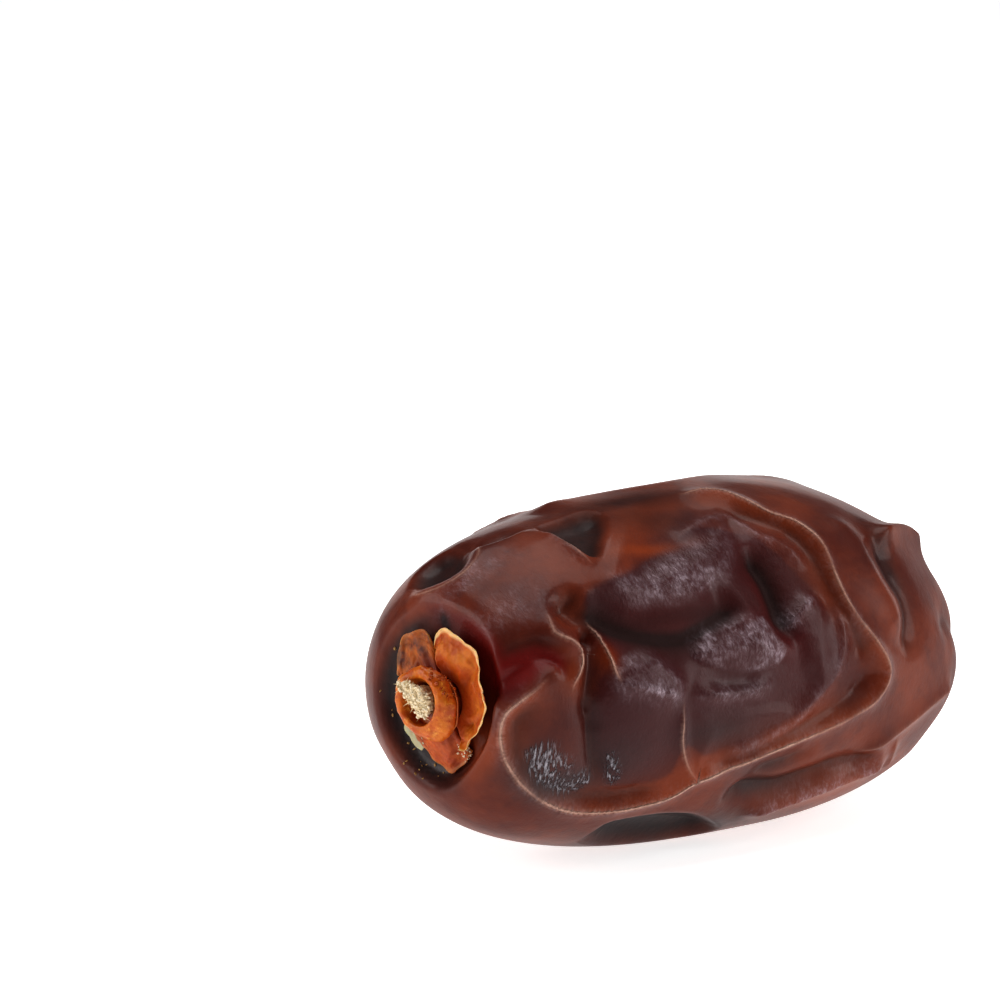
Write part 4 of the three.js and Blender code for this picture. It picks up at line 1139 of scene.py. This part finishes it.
# %% A tree that scatters small shapes
PER_MM2 = 1e6
SCATTER_INPUTS = {
    "Surface": "NodeSocketGeometry", "Density": "NodeSocketFloat", "Smallest": "NodeSocketFloat",
    "Largest": "NodeSocketFloat", "Tilt": "NodeSocketFloat", "Seed": "NodeSocketInt",
}


def scatter_tree(shape, sizes, material):
    """A tree that puts a shape on chance points of a surface, as many as its number "grow" asks for."""
    tree = bpy.data.node_groups.new("scatter", "GeometryNodeTree")
    for label, kind in SCATTER_INPUTS.items():
        tree.interface.new_socket(label, in_out="INPUT", socket_type=kind)
    tree.interface.new_socket("Mesh", in_out="OUTPUT", socket_type="NodeSocketGeometry")
    start = tree.nodes.new("NodeGroupInput")
    given = {label: Wire(tree, start.outputs[label]) for label in SCATTER_INPUTS}

    def node(kind, settings, inputs):
        return [Wire(tree, output) for output in add_node(tree, kind, settings, inputs).outputs]

    def chance(low, high, seed):
        settings = dict(data_type="FLOAT_VECTOR")
        return node("FunctionNodeRandomValue", settings, {0: low, 1: high, "Seed": seed})[0]

    grow = node("GeometryNodeInputNamedAttribute", dict(data_type="FLOAT"), dict(Name="grow"))[0]
    places, _, upright = node("GeometryNodeDistributePointsOnFaces", {}, {
        "Mesh": given["Surface"], "Density": grow * given["Density"], "Seed": given["Seed"]})
    tilt = node("ShaderNodeCombineXYZ", {}, dict(X=given["Tilt"], Y=given["Tilt"], Z=math.pi))[0]
    turn = node("FunctionNodeEulerToRotation", {}, {0: chance((0, 0, 0), tilt, 1)})[0]
    turned_way = node("FunctionNodeRotateRotation", dict(rotation_space="LOCAL"), {0: upright, 1: turn})[0]
    copies = node("GeometryNodeInstanceOnPoints", {}, {
        "Points": places, "Instance": node(shape, {}, sizes)[0], "Rotation": turned_way,
        "Scale": chance(given["Smallest"], given["Largest"], 2)})[0]
    plain_mesh = node("GeometryNodeRealizeInstances", {}, {0: copies})[0]
    finished = node("GeometryNodeSetMaterial", {}, dict(Geometry=plain_mesh, Material=material))[0]
    plug(tree, tree.nodes.new("NodeGroupOutput").inputs[0], finished)
    return tree


def scatter(name, surface, grow, tree, density, smallest, largest, tilt, seed):
    """A new piece: what the tree scatters over another piece, at most so many to a square millimetre."""
    values = dict(Density=density * PER_MM2, Smallest=smallest * MM, Largest=largest * MM,
                  Tilt=tilt, Seed=seed)
    base = add_object(name + "_base", surface.data.copy())
    store(base, "grow", grow)
    modifier = base.modifiers.new("scatter", "NODES")
    modifier.node_group = tree
    for item in tree.interface.items_tree:
        if item.name in values:
            modifier[item.identifier] = values[item.name]
    evaluated = base.evaluated_get(bpy.context.evaluated_depsgraph_get())
    mesh = bpy.data.meshes.new_from_object(evaluated)
    base.modifiers.remove(modifier)
    bpy.data.objects.remove(base)
    piece = add_object(name, mesh)
    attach(piece, "root")
    print(name + ":", len(mesh.polygons), "faces")


# %% [markdown]
# The stub's torn top is crumbly and has a few fibres standing up. Sap has dried in shiny beads on the cup's
# shoulder. Pale crumbs lie on the lower petal, and tan grit in the hollow below the calyx.

# %% Scattered pieces
TURN_ANY_WAY = math.pi
BEAD_WAY = 52               # degrees round the cup where the beads lie thickest
BEAD_SPREAD = 26
CRUMB_WAY = math.radians(-66)
CRUMB_SPOT = 3.3 * np.array([math.cos(CRUMB_WAY), math.sin(CRUMB_WAY)])
CRUMB_SPREAD = 0.4


def plain_finish(name, colour, roughness):
    f = Finish(name)
    shade = f.noise(3000, detail=2)
    f.feed(Base_Color=f.mix(shade, tuple(0.6 * c for c in colour), colour), Roughness=roughness, IOR=1.4)
    return f.material


def ball_tree(finish, subdivisions):
    return scatter_tree("GeometryNodeMeshIcoSphere", dict(Radius=1.0, Subdivisions=subdivisions), finish)


crumb_tree = ball_tree(plain_finish("crumb", (0.98, 0.86, 0.66), 0.75), 1)
FIBRE = {"Vertices": 5, "Side Segments": 2, "Radius Top": 0.0, "Radius Bottom": 0.16, "Depth": 1.6}
fibre_tree = scatter_tree("GeometryNodeMeshCone", FIBRE, plain_finish("fibre", (0.95, 0.78, 0.50), 0.6))
bead_tree = ball_tree(plain_finish("bead", (0.42, 0.085, 0.012), 0.08), 2)
grit_tree = ball_tree(plain_finish("grit", (0.50, 0.30, 0.12), 0.6), 1)


def seat_places(piece):
    """A calyx piece's corners, back in the seat's frame."""
    return to_seat(np.array([tuple(corner.co) for corner in piece.data.vertices]) / MM - STATION)


stub_places = seat_places(stub)
on_top = smooth((stub_places[:, 2] - 2.2) / 0.3)
scatter("stub_crumbs", stub, on_top, crumb_tree, 45, 0.03, 0.12, TURN_ANY_WAY, seed=4)
scatter("stub_fibres", stub, on_top, fibre_tree, 14, 0.10, 0.28, 0.7, seed=5)

cup_places = seat_places(cup)
cup_angle = np.degrees(np.arctan2(cup_places[:, 1] - CUP_CENTRE[1], cup_places[:, 0] - CUP_CENTRE[0]))
cup_radius = np.hypot(*(cup_places[:, :2] - CUP_CENTRE).T)
sticky = np.exp(-((cup_angle - BEAD_WAY) / BEAD_SPREAD) ** 2) * smooth((cup_radius - 1.5) / 0.2)
sticky *= smooth((cup_places[:, 2] - 1.3) / 0.2)
scatter("cup_beads", cup, sticky, bead_tree, 10, 0.05, 0.15, 0.3, seed=8)

low_petal = petals["petal_bottom"]
from_spot = np.hypot(*(seat_places(low_petal)[:, :2] - CRUMB_SPOT).T)
near_spot = np.exp(-(from_spot / CRUMB_SPREAD) ** 2)
scatter("petal_crumbs", low_petal, near_spot, crumb_tree, 60, 0.04, 0.10, TURN_ANY_WAY, seed=3)

gritty = ovals(((16, -100), (3.2, 1.6), 1.0), ((14, 175), (2.0, 3.0), 0.25)) * in_seat
scatter("seat_grit", fruit, gritty, grit_tree, 7, 0.03, 0.13, TURN_ANY_WAY, seed=6)

# %% [markdown]
# ## Floor, light and camera
# The date lies on a white floor that shines a little by itself, so that it stays white under soft light.
# Four large lamps make soft glints, which show the shape of the glossy skin. The camera stands 300 mm away
# with a long lens, and is turned aside so that the date lies low and to the right in the picture.

# %% Floor, light and camera
FLOOR = 1.5                 # half-size, in metres
corners = [(-FLOOR, -FLOOR, 0), (FLOOR, -FLOOR, 0), (FLOOR, FLOOR, 0), (-FLOOR, FLOOR, 0)]
floor_mesh = bpy.data.meshes.new("floor")
floor_mesh.from_pydata(corners, [], [(0, 1, 2, 3)])
floor = add_object("floor", floor_mesh)
floor_finish = Finish("floor")
floor_finish.feed(Base_Color=(0.86, 0.86, 0.86), Roughness=0.6)
floor_finish.feed(Emission_Color=(1, 1, 1), Emission_Strength=0.53)
floor_finish.put_on(floor)

VIEW_AZIMUTH = math.radians(-42)
VIEW_ELEVATION = math.radians(12)
VIEW_DISTANCE = 300.0
SCALE = 16.3                # pixels per millimetre at the station, in a picture of 1000 pixels
STATION_PIXEL = (721, 651)
PICTURE = 1000
SENSOR = 36
LIGHTS = {                  # place (sideways, upwards, towards the camera), width and height, watts
    "above": ((0.05, 0.45, 0.05), 0.40, 0.40, 1.2),
    "right": ((0.40, 0.14, 0.07), 0.14, 0.32, 0.55),
    "left": ((-0.42, 0.10, 0.15), 0.25, 0.25, 0.75),
    "behind": ((0.10, 0.18, -0.50), 1.0, 0.15, 0.50),
}
level = math.cos(VIEW_ELEVATION)
back = np.array([math.sin(VIEW_AZIMUTH) * level, -math.cos(VIEW_AZIMUTH) * level, math.sin(VIEW_ELEVATION)])
right = np.array([math.cos(VIEW_AZIMUTH), math.sin(VIEW_AZIMUTH), 0])
up = np.cross(back, right)


def in_view(sideways, upwards, towards):
    """A place in metres, given along the camera's own axes from the station."""
    return Vector((STATION * MM + right * sideways + up * upwards + back * towards).tolist())


def aim(name, data, place, target):
    """A new camera or lamp at a place, turned to look at the target."""
    thing = add_object(name, data)
    thing.location = place
    thing.rotation_euler = (target - place).to_track_quat("-Z", "Y").to_euler()
    return thing


camera_data = bpy.data.cameras.new("camera")
camera_data.sensor_width = SENSOR
camera_data.lens = SENSOR * VIEW_DISTANCE * SCALE / PICTURE
camera_data.clip_start = 0.01
middle_right = (PICTURE / 2 - STATION_PIXEL[0]) / SCALE * MM
middle_up = (STATION_PIXEL[1] - PICTURE / 2) / SCALE * MM
target = in_view(middle_right, middle_up, 0)
bpy.context.scene.camera = aim("camera", camera_data, in_view(0, 0, VIEW_DISTANCE * MM), target)

for name, (place, width, height, watts) in LIGHTS.items():
    data = bpy.data.lights.new(name, "AREA")
    data.shape = "RECTANGLE"
    data.size = width
    data.size_y = height
    data.energy = watts
    aim(name, data, in_view(*place), in_view(0, 0, 0))

world = bpy.data.worlds.new("studio")
world.use_nodes = True
sky = world.node_tree.nodes["Background"].inputs
sky["Color"].default_value = (1, 1, 1, 1)
sky["Strength"].default_value = 0.12
bpy.context.scene.world = world
bpy.context.scene.view_settings.view_transform = "Standard"
bpy.context.scene.view_settings.look = "High Contrast"
print("lens, mm:", round(camera_data.lens, 1), "lamps:", ", ".join(LIGHTS))
